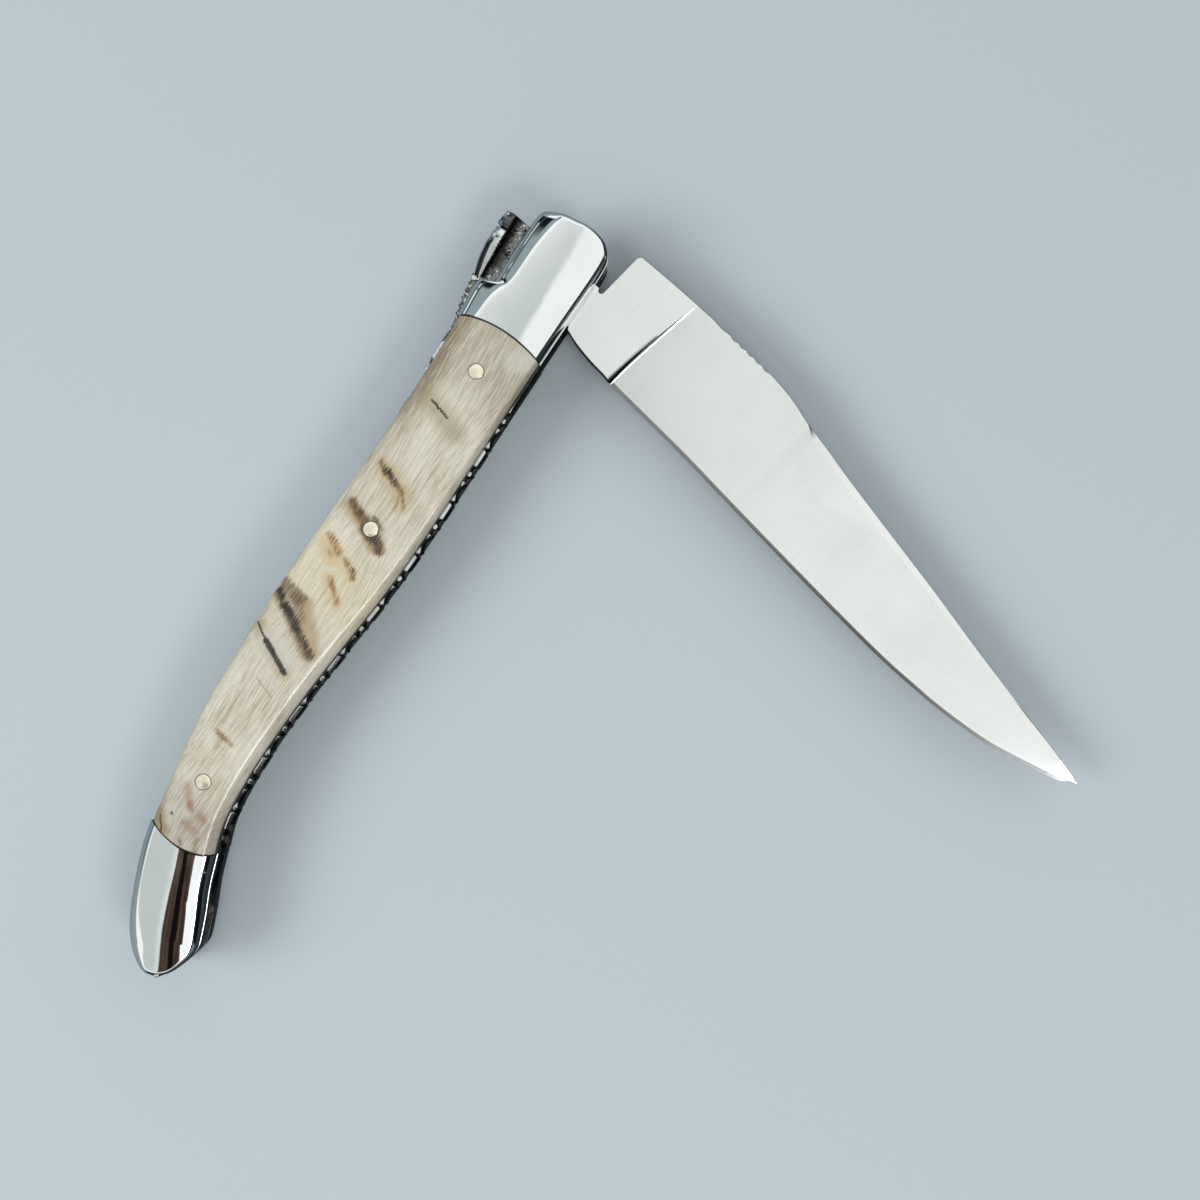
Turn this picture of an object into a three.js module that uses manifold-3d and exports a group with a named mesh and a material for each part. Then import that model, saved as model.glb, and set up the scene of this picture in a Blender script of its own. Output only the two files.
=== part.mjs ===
// Folding pocket knife with a slip joint: one blade, a back spring that ends in a chiselled ornament,
// file-worked steel liners, steel bolsters and riveted horn scales.
// Millimetres. X runs forward along the handle, Y toward the back spring and Z along the pivot.
// The origin is on the pivot axis, in the plane that the knife lies on.

import * as THREE from 'three';
import { mergeVertices } from 'three/addons/utils/BufferGeometryUtils.js';
import Module from 'manifold-3d';

const wasm = await Module();
wasm.setup();

// Blade, measured from the pivot axis while it is open along +X with its spine toward +Y
const bladeLength = 100; // axis to tip
const bladeThickness = 2.8;
const tipThickness = 0.6; // across the spine, just before the point
const edgeThickness = 0.36; // across the shoulders of the edge bevel
const edgeBevel = 0.75; // height of the edge bevel
const spineRise = 11.15; // highest point of the spine
const edgeFall = 6.5; // lowest point of the cutting edge
const shoulderReach = 4.55; // axis to the shoulder that the spring's end meets
const shoulderRadius = 0.6;
const tangSeat = 3; // axis to each of the two flats that the spring seats on
const tangNotch = 0.45; // radius of the relief in the corner of tang and shoulder
const bellyStep = 0.85; // length of the slope from the closed seat to the ricasso's underside
const ricassoLength = 9.3; // shoulder to the ground faces
const plungeLean = 1; // how much further forward the grind starts at the spine
const plungeLength = 0.45;
const swedgeWidth = 0.95; // height of the false edge on the spine
const restAngle = 100.93; // how far the blade is folded back from fully open, in degrees

// Spring
const springHeight = 3.2; // at its deepest, over the blade's belly
const springRoom = 0.5; // closed cutting edge to the spring
const springLift = 2.1; // rise of the nose on the tang's corner
const hingeReach = 45; // pivot axis to the pin that the spring flexes from
const springPinDiameter = 1.6;
const noseFlank = 0.95; // length of the slope behind the nose
const pocketRun = 4; // how far the pocket for the closed blade's tip runs forward of the tip
const ornamentHeight = 1.95;
const ornamentWidth = 5;
const ornamentRoom = 0.65; // seated ornament to the recess below it

// Handle
const handleFront = 8; // pivot axis to the front end
const buttLength = 11.25; // closed blade's tip to the butt
const bellyFall = 8.25; // lowest point of the butt below the axis
const recessDepth = 2.05; // recess for the ornament, below the highest point of the back
const recessRear = 5.1; // pivot axis back to the foot of the recess's step
const recessStep = 1.4; // length of that step
const linerThickness = 1.2;
const coverThickness = 3.6; // scales and bolsters
const frontBolsterLength = 18.5;
const rearBolsterLength = 17.22;
const frontJointSag = { back: 1.45, belly: 0.95 }; // how far the scale's front end falls back at its corners
const rearJointSag = { back: 1, belly: 1.5 }; // how far its rear end comes forward there
const sagReach = 5; // how far from a joint a cover still follows its curve
const wallHeight = 1.7; // upright part of a cover's edge, below the rolled part
const buttTaper = 0.7; // loss of thickness toward the butt
const scaleInset = 0.3; // liner's edges to the scale's
const pivotDiameter = 3;
const rivetDiameter = 2;
const rivetShares = { front: 0.0815, middle: 0.3914, rear: 0.887 }; // along a scale, from its front end

// Clearances
const slotClearance = 0.1; // blade to each liner
const pinClearance = 0.05;
const jointGap = 0.06; // between a scale and a bolster
const seatGap = 0.05; // between the spring and the piece that it seats on
const endGap = 0.15; // spring's end to the blade's shoulder
const tipRoom = 0.9; // closed blade's tip to the spring's rear block
const pinRecess = 0.05; // end of a hidden pin below the face that it stops at

// Filework
const notchDiameter = 1.1;
const notchSpacing = 1.65;
const groupPitch = 8.73;
const groupCount = 9;
const firstGroup = 20.7; // pivot axis back to the first pair of notches
const scallopLength = 2.7;
const scallopDepth = 0.4;
const grooveDiameter = 0.6;
const spineScallopPitch = 1.6;
const spineScallopCount = 8;
const spineScallopDepth = 0.25;
const spineScallopStart = 16.8; // pivot axis to the first scallop on the spine

// Facets of round pieces
const pivotSides = 40;
const smallSides = 24;
const notchSides = 14;
const smoothness = 0.001; // points closer than this to their neighbours' surface are dropped

// Sizes that follow
const slotWidth = bladeThickness + 2 * slotClearance;
const midPlane = coverThickness + linerThickness + slotWidth / 2;
const handleRear = bladeLength + buttLength;
const backRise = edgeFall + springRoom + springHeight;
const recessLevel = backRise - recessDepth;
const plungeStart = shoulderReach + ricassoLength;
const frontJoint = handleFront - frontBolsterLength;
const rearJoint = rearBolsterLength - handleRear;
const pivotHole = pivotDiameter / 2 + pinClearance;
const noseLevel = tangSeat + seatGap;
const noseTop = recessLevel + ornamentRoom;
const noseReach = shoulderReach - endGap;
const ornamentRear = -recessRear - recessStep / 3;

// A smooth curve through [place, value] points. Its slope at a point is that of its two neighbours' chord.
function heightCurve(points) {
  const last = points.length - 1;
  const slope = points.map((point, i) => {
    const before = points[Math.max(i - 1, 0)];
    const after = points[Math.min(i + 1, last)];
    return (after[1] - before[1]) / (after[0] - before[0]);
  });
  return (place) => {
    const next = points.findIndex((point) => point[0] > place);
    const i = next < 0 ? last - 1 : Math.max(next - 1, 0);
    const span = points[i + 1][0] - points[i][0];
    const t = THREE.MathUtils.clamp((place - points[i][0]) / span, 0, 1);
    const rise = points[i + 1][1] - points[i][1];
    const start = slope[i] * span - rise;
    const end = rise - slope[i + 1] * span;
    return points[i][1] + t * rise + t * (1 - t) * (start * (1 - t) + end * t);
  };
}

// Closed mesh from rings of equally many points. Each end is closed by strips between the ring's halves.
function loft(rings) {
  const count = rings[0].length;
  const positions = rings.flat().flatMap((point) => point.toArray());
  const index = [];
  const quad = (a, b, c, d) => index.push(a, b, c, a, c, d);
  for (let ring = 0; ring < rings.length - 1; ring += 1) {
    for (let i = 0; i < count; i += 1) {
      const j = (i + 1) % count;
      quad(ring * count + i, ring * count + j, (ring + 1) * count + j, (ring + 1) * count + i);
    }
  }
  const top = (rings.length - 1) * count;
  for (let i = 0; i < count / 2 - 1; i += 1) {
    const k = count - 1 - i;
    quad(i, k, k - 1, i + 1);
    quad(top + i, top + i + 1, top + k - 1, top + k);
  }
  const geometry = new THREE.BufferGeometry();
  geometry.setAttribute('position', new THREE.Float32BufferAttribute(positions, 3));
  geometry.setIndex(index);
  return solid(geometry);
}

function solid(geometry) {
  geometry.deleteAttribute('normal');
  geometry.deleteAttribute('uv');
  const merged = mergeVertices(geometry, 1e-5);
  const corners = Array.from(merged.index.array);
  const kept = [];
  for (let i = 0; i < corners.length; i += 3) {
    const [a, b, c] = corners.slice(i, i + 3);
    if (a !== b && b !== c && c !== a) kept.push(a, b, c);
  }
  const made = (triVerts) => new wasm.Manifold(
    new wasm.Mesh({ numProp: 3, vertProperties: merged.attributes.position.array, triVerts }),
  );
  const first = made(new Uint32Array(kept));
  return first.volume() > 0 ? first : made(new Uint32Array(kept.reverse()));
}

function extruded(outline, depth, from) {
  const geometry = new THREE.ExtrudeGeometry(new THREE.Shape(outline), { depth, bevelEnabled: false });
  return solid(geometry.translate(0, 0, from));
}

function pin(x, y, radius, from, to, sides = smallSides) {
  const geometry = new THREE.CylinderGeometry(radius, radius, to - from, sides);
  return solid(geometry.rotateX(Math.PI / 2).translate(x, y, (from + to) / 2));
}

function cut(body, cutters) {
  return cutters.reduce((rest, cutter) => rest.subtract(cutter), body);
}

const part = new THREE.Group();

function addPiece(name, shape, material) {
  const { vertProperties, triVerts } = shape.asOriginal().simplify(smoothness).getMesh();
  const geometry = new THREE.BufferGeometry();
  geometry.setAttribute('position', new THREE.Float32BufferAttribute(vertProperties, 3));
  geometry.setIndex(new THREE.Uint32BufferAttribute(triVerts, 1));
  geometry.computeVertexNormals();
  const mesh = new THREE.Mesh(geometry, material);
  mesh.name = name;
  part.add(mesh);
  return mesh;
}

const steel = new THREE.MeshStandardMaterial({ color: 0xc4c6c8, roughness: 0.12, metalness: 1 });
const bladeSteel = new THREE.MeshStandardMaterial({ color: 0xb4b7ba, roughness: 0.25, metalness: 1 });
const forgedSteel = new THREE.MeshStandardMaterial({ color: 0x5c5a57, roughness: 0.45, metalness: 1 });
const horn = new THREE.MeshStandardMaterial({ color: 0xcbbf9f, roughness: 0.3, metalness: 0 });
const nickelSilver = new THREE.MeshStandardMaterial({ color: 0xd0c089, roughness: 0.25, metalness: 1 });

// Handle outline: places along it are shares of the length behind the pivot, or ahead of it for the front
// end, and heights are shares of the back's rise or of the belly's fall
const backShares = [
  [0.103, 0.971], [0.165, 0.936], [0.298, 0.936], [0.387, 0.971], [0.476, 0.99], [0.54, 1],
  [0.609, 0.973], [0.698, 0.922], [0.786, 0.77], [0.858, 0.617], [0.912, 0.404], [0.947, 0.2255],
  [0.97, 0.07],
];
const bellyShares = [
  [0.9865, 0.121], [0.9964, 0.315], [1, 0.485], [0.9964, 0.655], [0.9874, 0.806], [0.9744, 0.909],
  [0.96, 0.976], [0.9465, 1], [0.9348, 0.964], [0.918, 0.873], [0.901, 0.776], [0.872, 0.596],
  [0.835, 0.414], [0.8, 0.255], [0.762, 0.182], [0.707, 0.145], [0.617, 0.182], [0.526, 0.279],
  [0.435, 0.376], [0.344, 0.406], [0.252, 0.4], [0.089, 0.4], [0.025, 0.412],
];
const frontShares = [
  [0.641, 0], [0.762, 0.035], [0.883, 0.113], [0.955, 0.216], [0.992, 0.329], [1, 0.45],
  [0.979, 0.58], [0.943, 0.736], [0.859, 0.883], [0.786, 0.957], [0.641, 0.991], [0.459, 1],
];
const stepShares = [[0, 0], [0.3, 0.19], [0.65, 0.72], [1, 0.94]]; // of the recess's step and depth
const frontFall = bellyFall * bellyShares[bellyShares.length - 1][1];
const handlePoints = [
  ...frontShares.map(([along, up]) => [handleFront * along, -frontFall + up * (recessLevel + frontFall)]),
  [-recessRear * 0.4, recessLevel],
  ...stepShares.map(([along, up]) => [-recessRear - recessStep * along, recessLevel + recessDepth * up]),
  ...backShares.map(([along, up]) => [-handleRear * along, backRise * up]),
  ...bellyShares.map(([along, down]) => [-handleRear * along, -bellyFall * down]),
];
const handleCurve = new THREE.CatmullRomCurve3(
  handlePoints.map(([x, y]) => new THREE.Vector3(x, y, 0)),
  true,
  'centripetal',
);
const handleOutline = handleCurve.getPoints(handlePoints.length * 3).slice(0, -1);

// Heights at which the outline passes a place, of which the last is the back and the first is the belly
function crossings(x) {
  const heights = [];
  handleOutline.forEach((point, i) => {
    const next = handleOutline[(i + 1) % handleOutline.length];
    if ((point.x - x) * (next.x - x) <= 0 && point.x !== next.x) {
      heights.push(THREE.MathUtils.lerp(point.y, next.y, (x - point.x) / (next.x - point.x)));
    }
  });
  return heights.sort((a, b) => a - b);
}
const backAt = (x) => crossings(x).pop();
const bellyAt = (x) => crossings(x)[0];
const middleAt = (x) => (backAt(x) + bellyAt(x)) / 2;

// Blade outline: places are shares of the blade's length, heights shares of the spine's rise or edge's fall
const spineCurve = heightCurve([
  [0.03, 0.906], [0.116, 0.968], [0.2, 0.994], [0.285, 1], [0.335, 0.964], [0.375, 0.888], [0.42, 0.826],
  [0.474, 0.743], [0.574, 0.611], [0.673, 0.481], [0.772, 0.334], [0.871, 0.206], [0.95, 0.109],
  [0.98, 0.062], [1, 0.022],
]);
const edgeCurve = heightCurve([
  [0.046, 0.662], [0.067, 0.738], [0.097, 0.792], [0.126, 0.806], [0.141, 0.837], [0.176, 0.846],
  [0.275, 0.854], [0.375, 0.903], [0.474, 0.946], [0.574, 0.983], [0.653, 1], [0.7, 0.991],
  [0.74, 0.958], [0.772, 0.931], [0.822, 0.843], [0.871, 0.715], [0.92, 0.5], [0.96, 0.302],
  [0.98, 0.185], [1, -0.03],
]);
const spineAt = (x) => spineRise * spineCurve(x / bladeLength);
const edgeAt = (x) => -edgeFall * edgeCurve(x / bladeLength);

// The spring, seated on the tang: its top, its underside over the closed edge, and the flexing that lifts
// it, a turn about its pin that grows smoothly from none at the pin to all of it at the nose
const hinge = new THREE.Vector2(-hingeReach, 0);
const springUnder = (x) => springRoom - edgeAt(Math.min(-x, bladeLength));
hinge.y = (springUnder(hinge.x) + backAt(hinge.x)) / 2;
const liftAngle = Math.asin(springLift / hingeReach);
const flexEnd = -recessRear;
const springDip = heightCurve([
  [-hingeReach, 0], [-0.65 * hingeReach, 0], [-0.42 * hingeReach, 0.2], [-0.3 * hingeReach, 0.55],
  [-0.2 * hingeReach, 0.35], [ornamentRear, 0.1],
]);

function lifted(point) {
  const share = THREE.MathUtils.smoothstep(point.x, hinge.x, flexEnd);
  return point.clone().rotateAround(hinge, share * liftAngle);
}

// Blade: the tang's round end is the cam that lifts the nose, and its two flats are the nose's seats
const noseAtRest = lifted(new THREE.Vector2(0, noseLevel));
const camRadius = noseAtRest.y * Math.cos(liftAngle) - noseAtRest.x * Math.sin(liftAngle) - seatGap;
const camCorner = Math.asin(tangSeat / camRadius);

function tang() {
  const inside = shoulderReach + 2 * shoulderRadius;
  const under = edgeAt(shoulderReach);
  const outline = new THREE.Shape();
  outline.moveTo(shoulderReach, under);
  outline.lineTo(inside, under);
  outline.lineTo(inside, tangSeat);
  outline.lineTo(-camRadius * Math.cos(camCorner), tangSeat);
  outline.absarc(0, 0, camRadius, Math.PI - camCorner, Math.PI + camCorner, false);
  outline.lineTo(shoulderReach - bellyStep, -tangSeat);
  return extruded(outline.getPoints(24), bladeThickness, -bladeThickness / 2);
}

const swedgeShares = { start: 0.375, full: 0.4, fading: 0.55, end: 0.9 }; // places along the blade
const pointShare = 0.27; // the faces close in where the blade is lower than this share of the spine's rise

// The ground faces run straight from the spine to the edge bevel, and the spine thins toward the point.
// From shoulder to grind the blade keeps its full thickness.
function bladeRing(x) {
  const full = bladeThickness / 2;
  const ahead = THREE.MathUtils.clamp((x - plungeStart) / (bladeLength - plungeStart), 0, 1);
  const ground = THREE.MathUtils.clamp((x - plungeStart) / plungeLength, 0, 1);
  const corner = Math.max(shoulderReach + shoulderRadius - x, 0);
  const round = shoulderRadius - Math.sqrt(Math.max(shoulderRadius ** 2 - corner ** 2, 0));
  const spine = spineAt(x) - round;
  const edge = edgeAt(x);
  const height = spine - edge;
  const taper = Math.min(1, height / (spineRise * pointShare));
  const spineHalf = THREE.MathUtils.lerp(full, tipThickness / 2, ahead) * taper;
  const bevelHalf = THREE.MathUtils.lerp(full, edgeThickness / 2, ground) * taper;
  const edgeHalf = THREE.MathUtils.lerp(full - edgeBevel / 3, 0.02, ground) * taper;
  const swedge = THREE.MathUtils.smoothstep(x / bladeLength, swedgeShares.start, swedgeShares.full)
    * (1 - THREE.MathUtils.smoothstep(x / bladeLength, swedgeShares.fading, swedgeShares.end));
  const bevel = Math.min(edgeBevel, height / 3);
  const falseEdge = Math.min(swedgeWidth * swedge + 0.05, height / 3);
  const profile = [
    [edge, edgeHalf],
    [edge + bevel, bevelHalf],
    [edge + height * 0.45, THREE.MathUtils.lerp(bevelHalf, spineHalf, 0.48)],
    [spine - falseEdge, spineHalf],
    [spine, spineHalf * (1 - 0.45 * swedge)],
  ];
  const lean = plungeLean * Math.exp(-Math.max(x - plungeStart - plungeLength, 0) / 8);
  const start = THREE.MathUtils.clamp((x - shoulderReach) / ricassoLength, 0, 1);
  const place = (y) => x + lean * start * (y - edge) / Math.max(height, 1);
  return [
    ...profile.map(([y, half]) => new THREE.Vector3(place(y), y, half)),
    ...profile.reverse().map(([y, half]) => new THREE.Vector3(place(y), y, -half)),
  ];
}

function bladeStations() {
  const corner = [0, 0.12, 0.45, 1].map((share) => shoulderReach + share * shoulderRadius);
  const ricasso = [0.3, 0.55, 0.8].map((share) => shoulderReach + share * ricassoLength);
  const plunge = [plungeStart, plungeStart + plungeLength];
  const ground = [];
  const first = plungeStart + plungeLength;
  const steps = 30;
  for (let i = 1; i < steps; i += 1) {
    ground.push(first + (bladeLength - first) * Math.sin((i / steps) * Math.PI / 2) ** 1.15);
  }
  return [...corner, ...ricasso, ...plunge, ...ground, bladeLength];
}

function blade() {
  const cutters = [pin(0, 0, pivotHole, -bladeThickness, bladeThickness, pivotSides)];
  cutters.push(pin(shoulderReach - tangNotch, tangSeat, tangNotch, -bladeThickness, bladeThickness));
  const chord = spineScallopPitch * 0.4;
  const radius = (chord ** 2 + spineScallopDepth ** 2) / (2 * spineScallopDepth);
  for (let i = 0; i < spineScallopCount; i += 1) {
    const x = spineScallopStart + i * spineScallopPitch;
    const y = spineAt(x) + radius - spineScallopDepth;
    cutters.push(pin(x, y, radius, -bladeThickness, bladeThickness));
  }
  return cut(loft(bladeStations().map(bladeRing)).add(tang()), cutters);
}

const bladeMesh = addPiece('blade', blade(), bladeSteel);
bladeMesh.position.z = midPlane;
bladeMesh.rotation.z = -THREE.MathUtils.degToRad(restAngle);

// Pins of the handle
const springPinRear = new THREE.Vector2(-(bladeLength + 0.3 * buttLength), 0);
springPinRear.y = middleAt(springPinRear.x);
const rivetPlaces = Object.entries(rivetShares).map(([name, share]) => {
  const x = THREE.MathUtils.lerp(frontJoint, rearJoint, share);
  return { name, x, y: middleAt(x) };
});

// Outline of the spring while it is seated: over the nose and along the back, round the rear block, up the
// pocket for the blade's tip and forward again under the spring
function springOutline() {
  const stepHead = -recessRear - recessStep;
  const topAt = (x) => backAt(Math.min(x, stepHead)) - Math.max(springDip(x), 0);
  const nose = [[noseReach, noseLevel], [noseReach, noseTop], [ornamentRear, noseTop]];
  const top = spaced(ornamentRear, -bladeLength, 40).map((x) => [x, topAt(x)]);

  const blockFront = -bladeLength - tipRoom;
  const centre = -bladeLength - buttLength / 2;
  const block = handleOutline.filter((point) => point.x < blockFront).map((point) => {
    const inward = new THREE.Vector2(centre - point.x, middleAt(centre) - point.y).setLength(seatGap);
    return [point.x + inward.x, point.y + inward.y];
  });
  block.push([blockFront, bellyAt(blockFront) + seatGap]);

  const pocketEnd = -bladeLength + pocketRun;
  const pocket = spaced(0, Math.PI / 2, 6).map((turn) => [
    THREE.MathUtils.lerp(pocketEnd, blockFront, Math.cos(turn)),
    THREE.MathUtils.lerp(-tipRoom, springUnder(pocketEnd), Math.sin(turn)),
  ]);
  const flankHead = bellyStep - shoulderReach - noseFlank + springRoom;
  const under = spaced(pocketEnd, flankHead, 36).slice(1).map((x) => [x, springUnder(x)]);
  const flankFoot = [flankHead + noseFlank, noseLevel];
  return [...nose, ...top, ...block, ...pocket, ...under, flankFoot].map(([x, y]) => new THREE.Vector2(x, y));
}

function backSpring() {
  const thickness = slotWidth - 2 * seatGap;
  const body = extruded(springOutline().map(lifted), thickness, midPlane - thickness / 2);
  const radius = springPinDiameter / 2 + pinClearance;
  const holes = [hinge, springPinRear].map((at) => pin(at.x, at.y, radius, 0, 2 * midPlane));
  return cut(body, holes);
}

// Ornament: a bud with a pinched neck, welded on the nose
function springOrnament() {
  const widths = heightCurve([[0, 0.56], [0.25, 0.8], [0.5, 1], [0.7, 0.7], [0.87, 0.92], [1, 0.66]]);
  const heights = heightCurve([[0, 0.55], [0.2, 0.64], [0.4, 0.8], [0.58, 1], [0.72, 0.96], [0.82, 0.8],
    [0.92, 0.88], [1, 0.76]]);
  const steps = 18;
  const sectionSteps = 10;
  const rings = [];
  for (let i = 0; i <= steps; i += 1) {
    const along = i / steps;
    const x = THREE.MathUtils.lerp(ornamentRear + seatGap, noseReach, along);
    const half = (ornamentWidth / 2) * widths(along);
    const high = ornamentHeight * heights(along) - seatGap;
    const arch = [];
    const base = [];
    for (let j = 0; j <= sectionSteps; j += 1) {
      const turn = (j / sectionSteps) * Math.PI;
      const z = -half * Math.sign(Math.cos(turn)) * Math.abs(Math.cos(turn)) ** 0.7;
      const y = noseTop + seatGap + high * Math.sin(turn) ** 0.6;
      const above = lifted(new THREE.Vector2(x, Math.max(y, noseTop + seatGap + 0.05)));
      const below = lifted(new THREE.Vector2(x, noseTop + seatGap));
      arch.push(new THREE.Vector3(above.x, above.y, midPlane + z));
      base.push(new THREE.Vector3(below.x, below.y, midPlane + z));
    }
    rings.push([...arch, ...base.reverse()]);
  }
  return loft(rings);
}

addPiece('back_spring', backSpring(), forgedSteel);
addPiece('spring_ornament', springOrnament(), steel);

// Rolled edges of the covers: widths of the rolled part at places along the handle
const bellyRoll = heightCurve([
  [-1, 2.8], [-0.9, 2.2], [-0.84, 1.5], [-0.8, 1.5], [-0.68, 1.75], [-0.53, 1.75], [-0.48, 1.45],
  [-0.34, 1], [-0.18, 0.7], [-0.09, 0.45], [0.08, 0.45],
]);
const backRoll = heightCurve([
  [-1, 3.4], [-0.9, 3.8], [-0.84, 3], [-0.7, 2.2], [-0.45, 2], [-0.18, 2.1], [-0.1, 1.8], [-0.055, 2.5],
  [0, 2.4], [0.08, 2.3],
]);
const endRoll = { front: 1.2, rear: 4.5 };

// Share of a cover's rolled height at a distance from its edge: a quarter circle, then flat
function rolled(distance, width) {
  const share = THREE.MathUtils.clamp(distance / width, 0, 1);
  return Math.sqrt(1 - (1 - share) ** 2);
}

// How far a cover's point moves toward the scale, to follow the curve of a joint nearby
function sagAt(x, y, joint, sag) {
  const near = THREE.MathUtils.clamp(1 - Math.abs(x - joint) / sagReach, 0, 1);
  const half = (backAt(joint) - bellyAt(joint)) / 2;
  const share = (y - middleAt(joint)) / half;
  return (share > 0 ? sag.back : sag.belly) * near * share ** 2;
}

// A cover lies on a liner between two places. Its outer face is flat, at the handle's full thickness,
// and rolls down to an upright wall along the belly, the back and the free end.
function cover({ side, stations, inset = 0 }) {
  const rollSteps = 5;
  const flatSteps = 3;
  const rings = stations.map((x) => {
    const low = bellyAt(x) + inset;
    const high = backAt(x) - inset;
    const share = x / handleRear;
    const widthLow = Math.min(bellyRoll(share), (high - low) * 0.48);
    const widthHigh = Math.min(backRoll(share), (high - low) * 0.48);
    const places = [];
    for (let i = 0; i <= rollSteps; i += 1) {
      places.push(low + widthLow * (1 - Math.cos((i / rollSteps) * Math.PI / 2)));
    }
    for (let i = 1; i < flatSteps; i += 1) {
      places.push(THREE.MathUtils.lerp(low + widthLow, high - widthHigh, i / flatSteps));
    }
    for (let i = rollSteps; i >= 0; i -= 1) {
      places.push(high - widthHigh * (1 - Math.cos((i / rollSteps) * Math.PI / 2)));
    }
    const ends = rolled(handleFront - x, endRoll.front) * rolled(handleRear + x, endRoll.rear);
    const rearShare = THREE.MathUtils.smoothstep(-x, -rearJoint, handleRear);
    const land = coverThickness - buttTaper * rearShare;
    const outer = [];
    const inner = [];
    places.forEach((y) => {
      const roll = rolled(y - low, widthLow) * rolled(high - y, widthHigh) * ends;
      const height = wallHeight + (land - wallHeight) * roll;
      const place = x - sagAt(x, y, frontJoint, frontJointSag) + sagAt(x, y, rearJoint, rearJointSag);
      const z = (level) => midPlane + side * (slotWidth / 2 + linerThickness + level);
      outer.push(new THREE.Vector3(place, y, z(height)));
      inner.push(new THREE.Vector3(place, y, z(0)));
    });
    return [...outer, ...inner.reverse()];
  });
  return loft(rings);
}

// Places along a cover, evenly spaced from one end to another
function spaced(from, to, steps) {
  return Array.from({ length: steps + 1 }, (unused, i) => THREE.MathUtils.lerp(from, to, i / steps));
}

// Places that crowd toward a round free end
function crowded(from, end, steps) {
  const last = 0.985; // the final ring stops just short of the end, where it would have no width
  return Array.from({ length: steps }, (unused, i) => (
    THREE.MathUtils.lerp(from, end, Math.sin(((i + 1) / steps) * last * Math.PI / 2))
  ));
}

const linerNotches = [];
for (let i = 0; i < groupCount; i += 1) {
  const centre = -firstGroup - i * groupPitch;
  const notch = notchDiameter / 2;
  const edge = (x, radius, depth) => pin(x, bellyAt(x) + depth - radius, radius, 0, 2 * midPlane, notchSides);
  linerNotches.push(edge(centre - notchSpacing / 2, notch, notch * 1.1));
  linerNotches.push(edge(centre + notchSpacing / 2, notch, notch * 1.1));
  if (i < groupCount - 1) {
    const half = scallopLength / 2;
    const radius = (half ** 2 + scallopDepth ** 2) / (2 * scallopDepth);
    const scallop = centre - notchSpacing / 2 - notch - half;
    const below = bellyAt(scallop) + scallopDepth - radius;
    linerNotches.push(pin(scallop, below, radius, 0, 2 * midPlane, 2 * notchSides));
    linerNotches.push(edge(scallop - half - grooveDiameter, grooveDiameter / 2, grooveDiameter / 2));
  }
}

const pivotCut = pin(0, 0, pivotHole, -midPlane, 3 * midPlane, pivotSides);
const sides = [{ name: 'right', side: 1 }, { name: 'left', side: -1 }];
sides.forEach(({ name, side }) => {
  const level = (height) => midPlane + side * (slotWidth / 2 + height);
  const span = (near, far) => [level(near), level(far)].sort((a, b) => a - b);
  const rivetCuts = rivetPlaces.map(({ x, y }) => (
    pin(x, y, rivetDiameter / 2 + pinClearance, -midPlane, 3 * midPlane)
  ));
  const springPinCuts = [hinge, springPinRear].map((at) => (
    pin(at.x, at.y, springPinDiameter / 2 + pinClearance, -midPlane, 3 * midPlane)
  ));
  const [linerFrom] = span(0, linerThickness);
  const outline = handleOutline.map((point) => new THREE.Vector2(point.x, point.y));
  const liner = extruded(outline, linerThickness, linerFrom);
  addPiece(`liner_${name}`, cut(liner, [pivotCut, ...rivetCuts, ...springPinCuts, ...linerNotches]), steel);

  const stepHead = -recessRear - recessStep;
  const frontStations = [
    ...spaced(frontJoint, stepHead, 4), ...spaced(stepHead, -recessRear, 6).slice(1),
    ...spaced(-recessRear, handleFront * 0.45, 4).slice(1), ...crowded(handleFront * 0.45, handleFront, 9),
  ];
  addPiece(`front_bolster_${name}`, cut(cover({ side, stations: frontStations }), [pivotCut]), steel);

  const scaleStations = spaced(frontJoint - jointGap, rearJoint + jointGap, 24);
  const scale = cover({ side, stations: scaleStations, inset: scaleInset });
  addPiece(`scale_${name}`, cut(scale, rivetCuts), horn);

  const blockStart = -bladeLength;
  const rearStations = [...spaced(rearJoint, blockStart, 4), ...crowded(blockStart, -handleRear, 14)];
  addPiece(`rear_bolster_${name}`, cover({ side, stations: rearStations }), steel);

  const [rivetFrom, rivetTo] = span(pinRecess, linerThickness + coverThickness);
  rivetPlaces.forEach((place) => {
    const rivet = pin(place.x, place.y, rivetDiameter / 2, rivetFrom, rivetTo);
    addPiece(`rivet_${place.name}_${name}`, rivet, nickelSilver);
  });
});

addPiece('pivot_pin', pin(0, 0, pivotDiameter / 2, 0, 2 * midPlane, pivotSides), steel);
[['middle', hinge], ['rear', springPinRear]].forEach(([name, at]) => {
  const from = coverThickness + pinRecess;
  addPiece(`spring_pin_${name}`, pin(at.x, at.y, springPinDiameter / 2, from, 2 * midPlane - from), steel);
});

export default part;
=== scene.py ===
import math

import bmesh
import bpy
import numpy as np
from mathutils import Matrix, Vector


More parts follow.
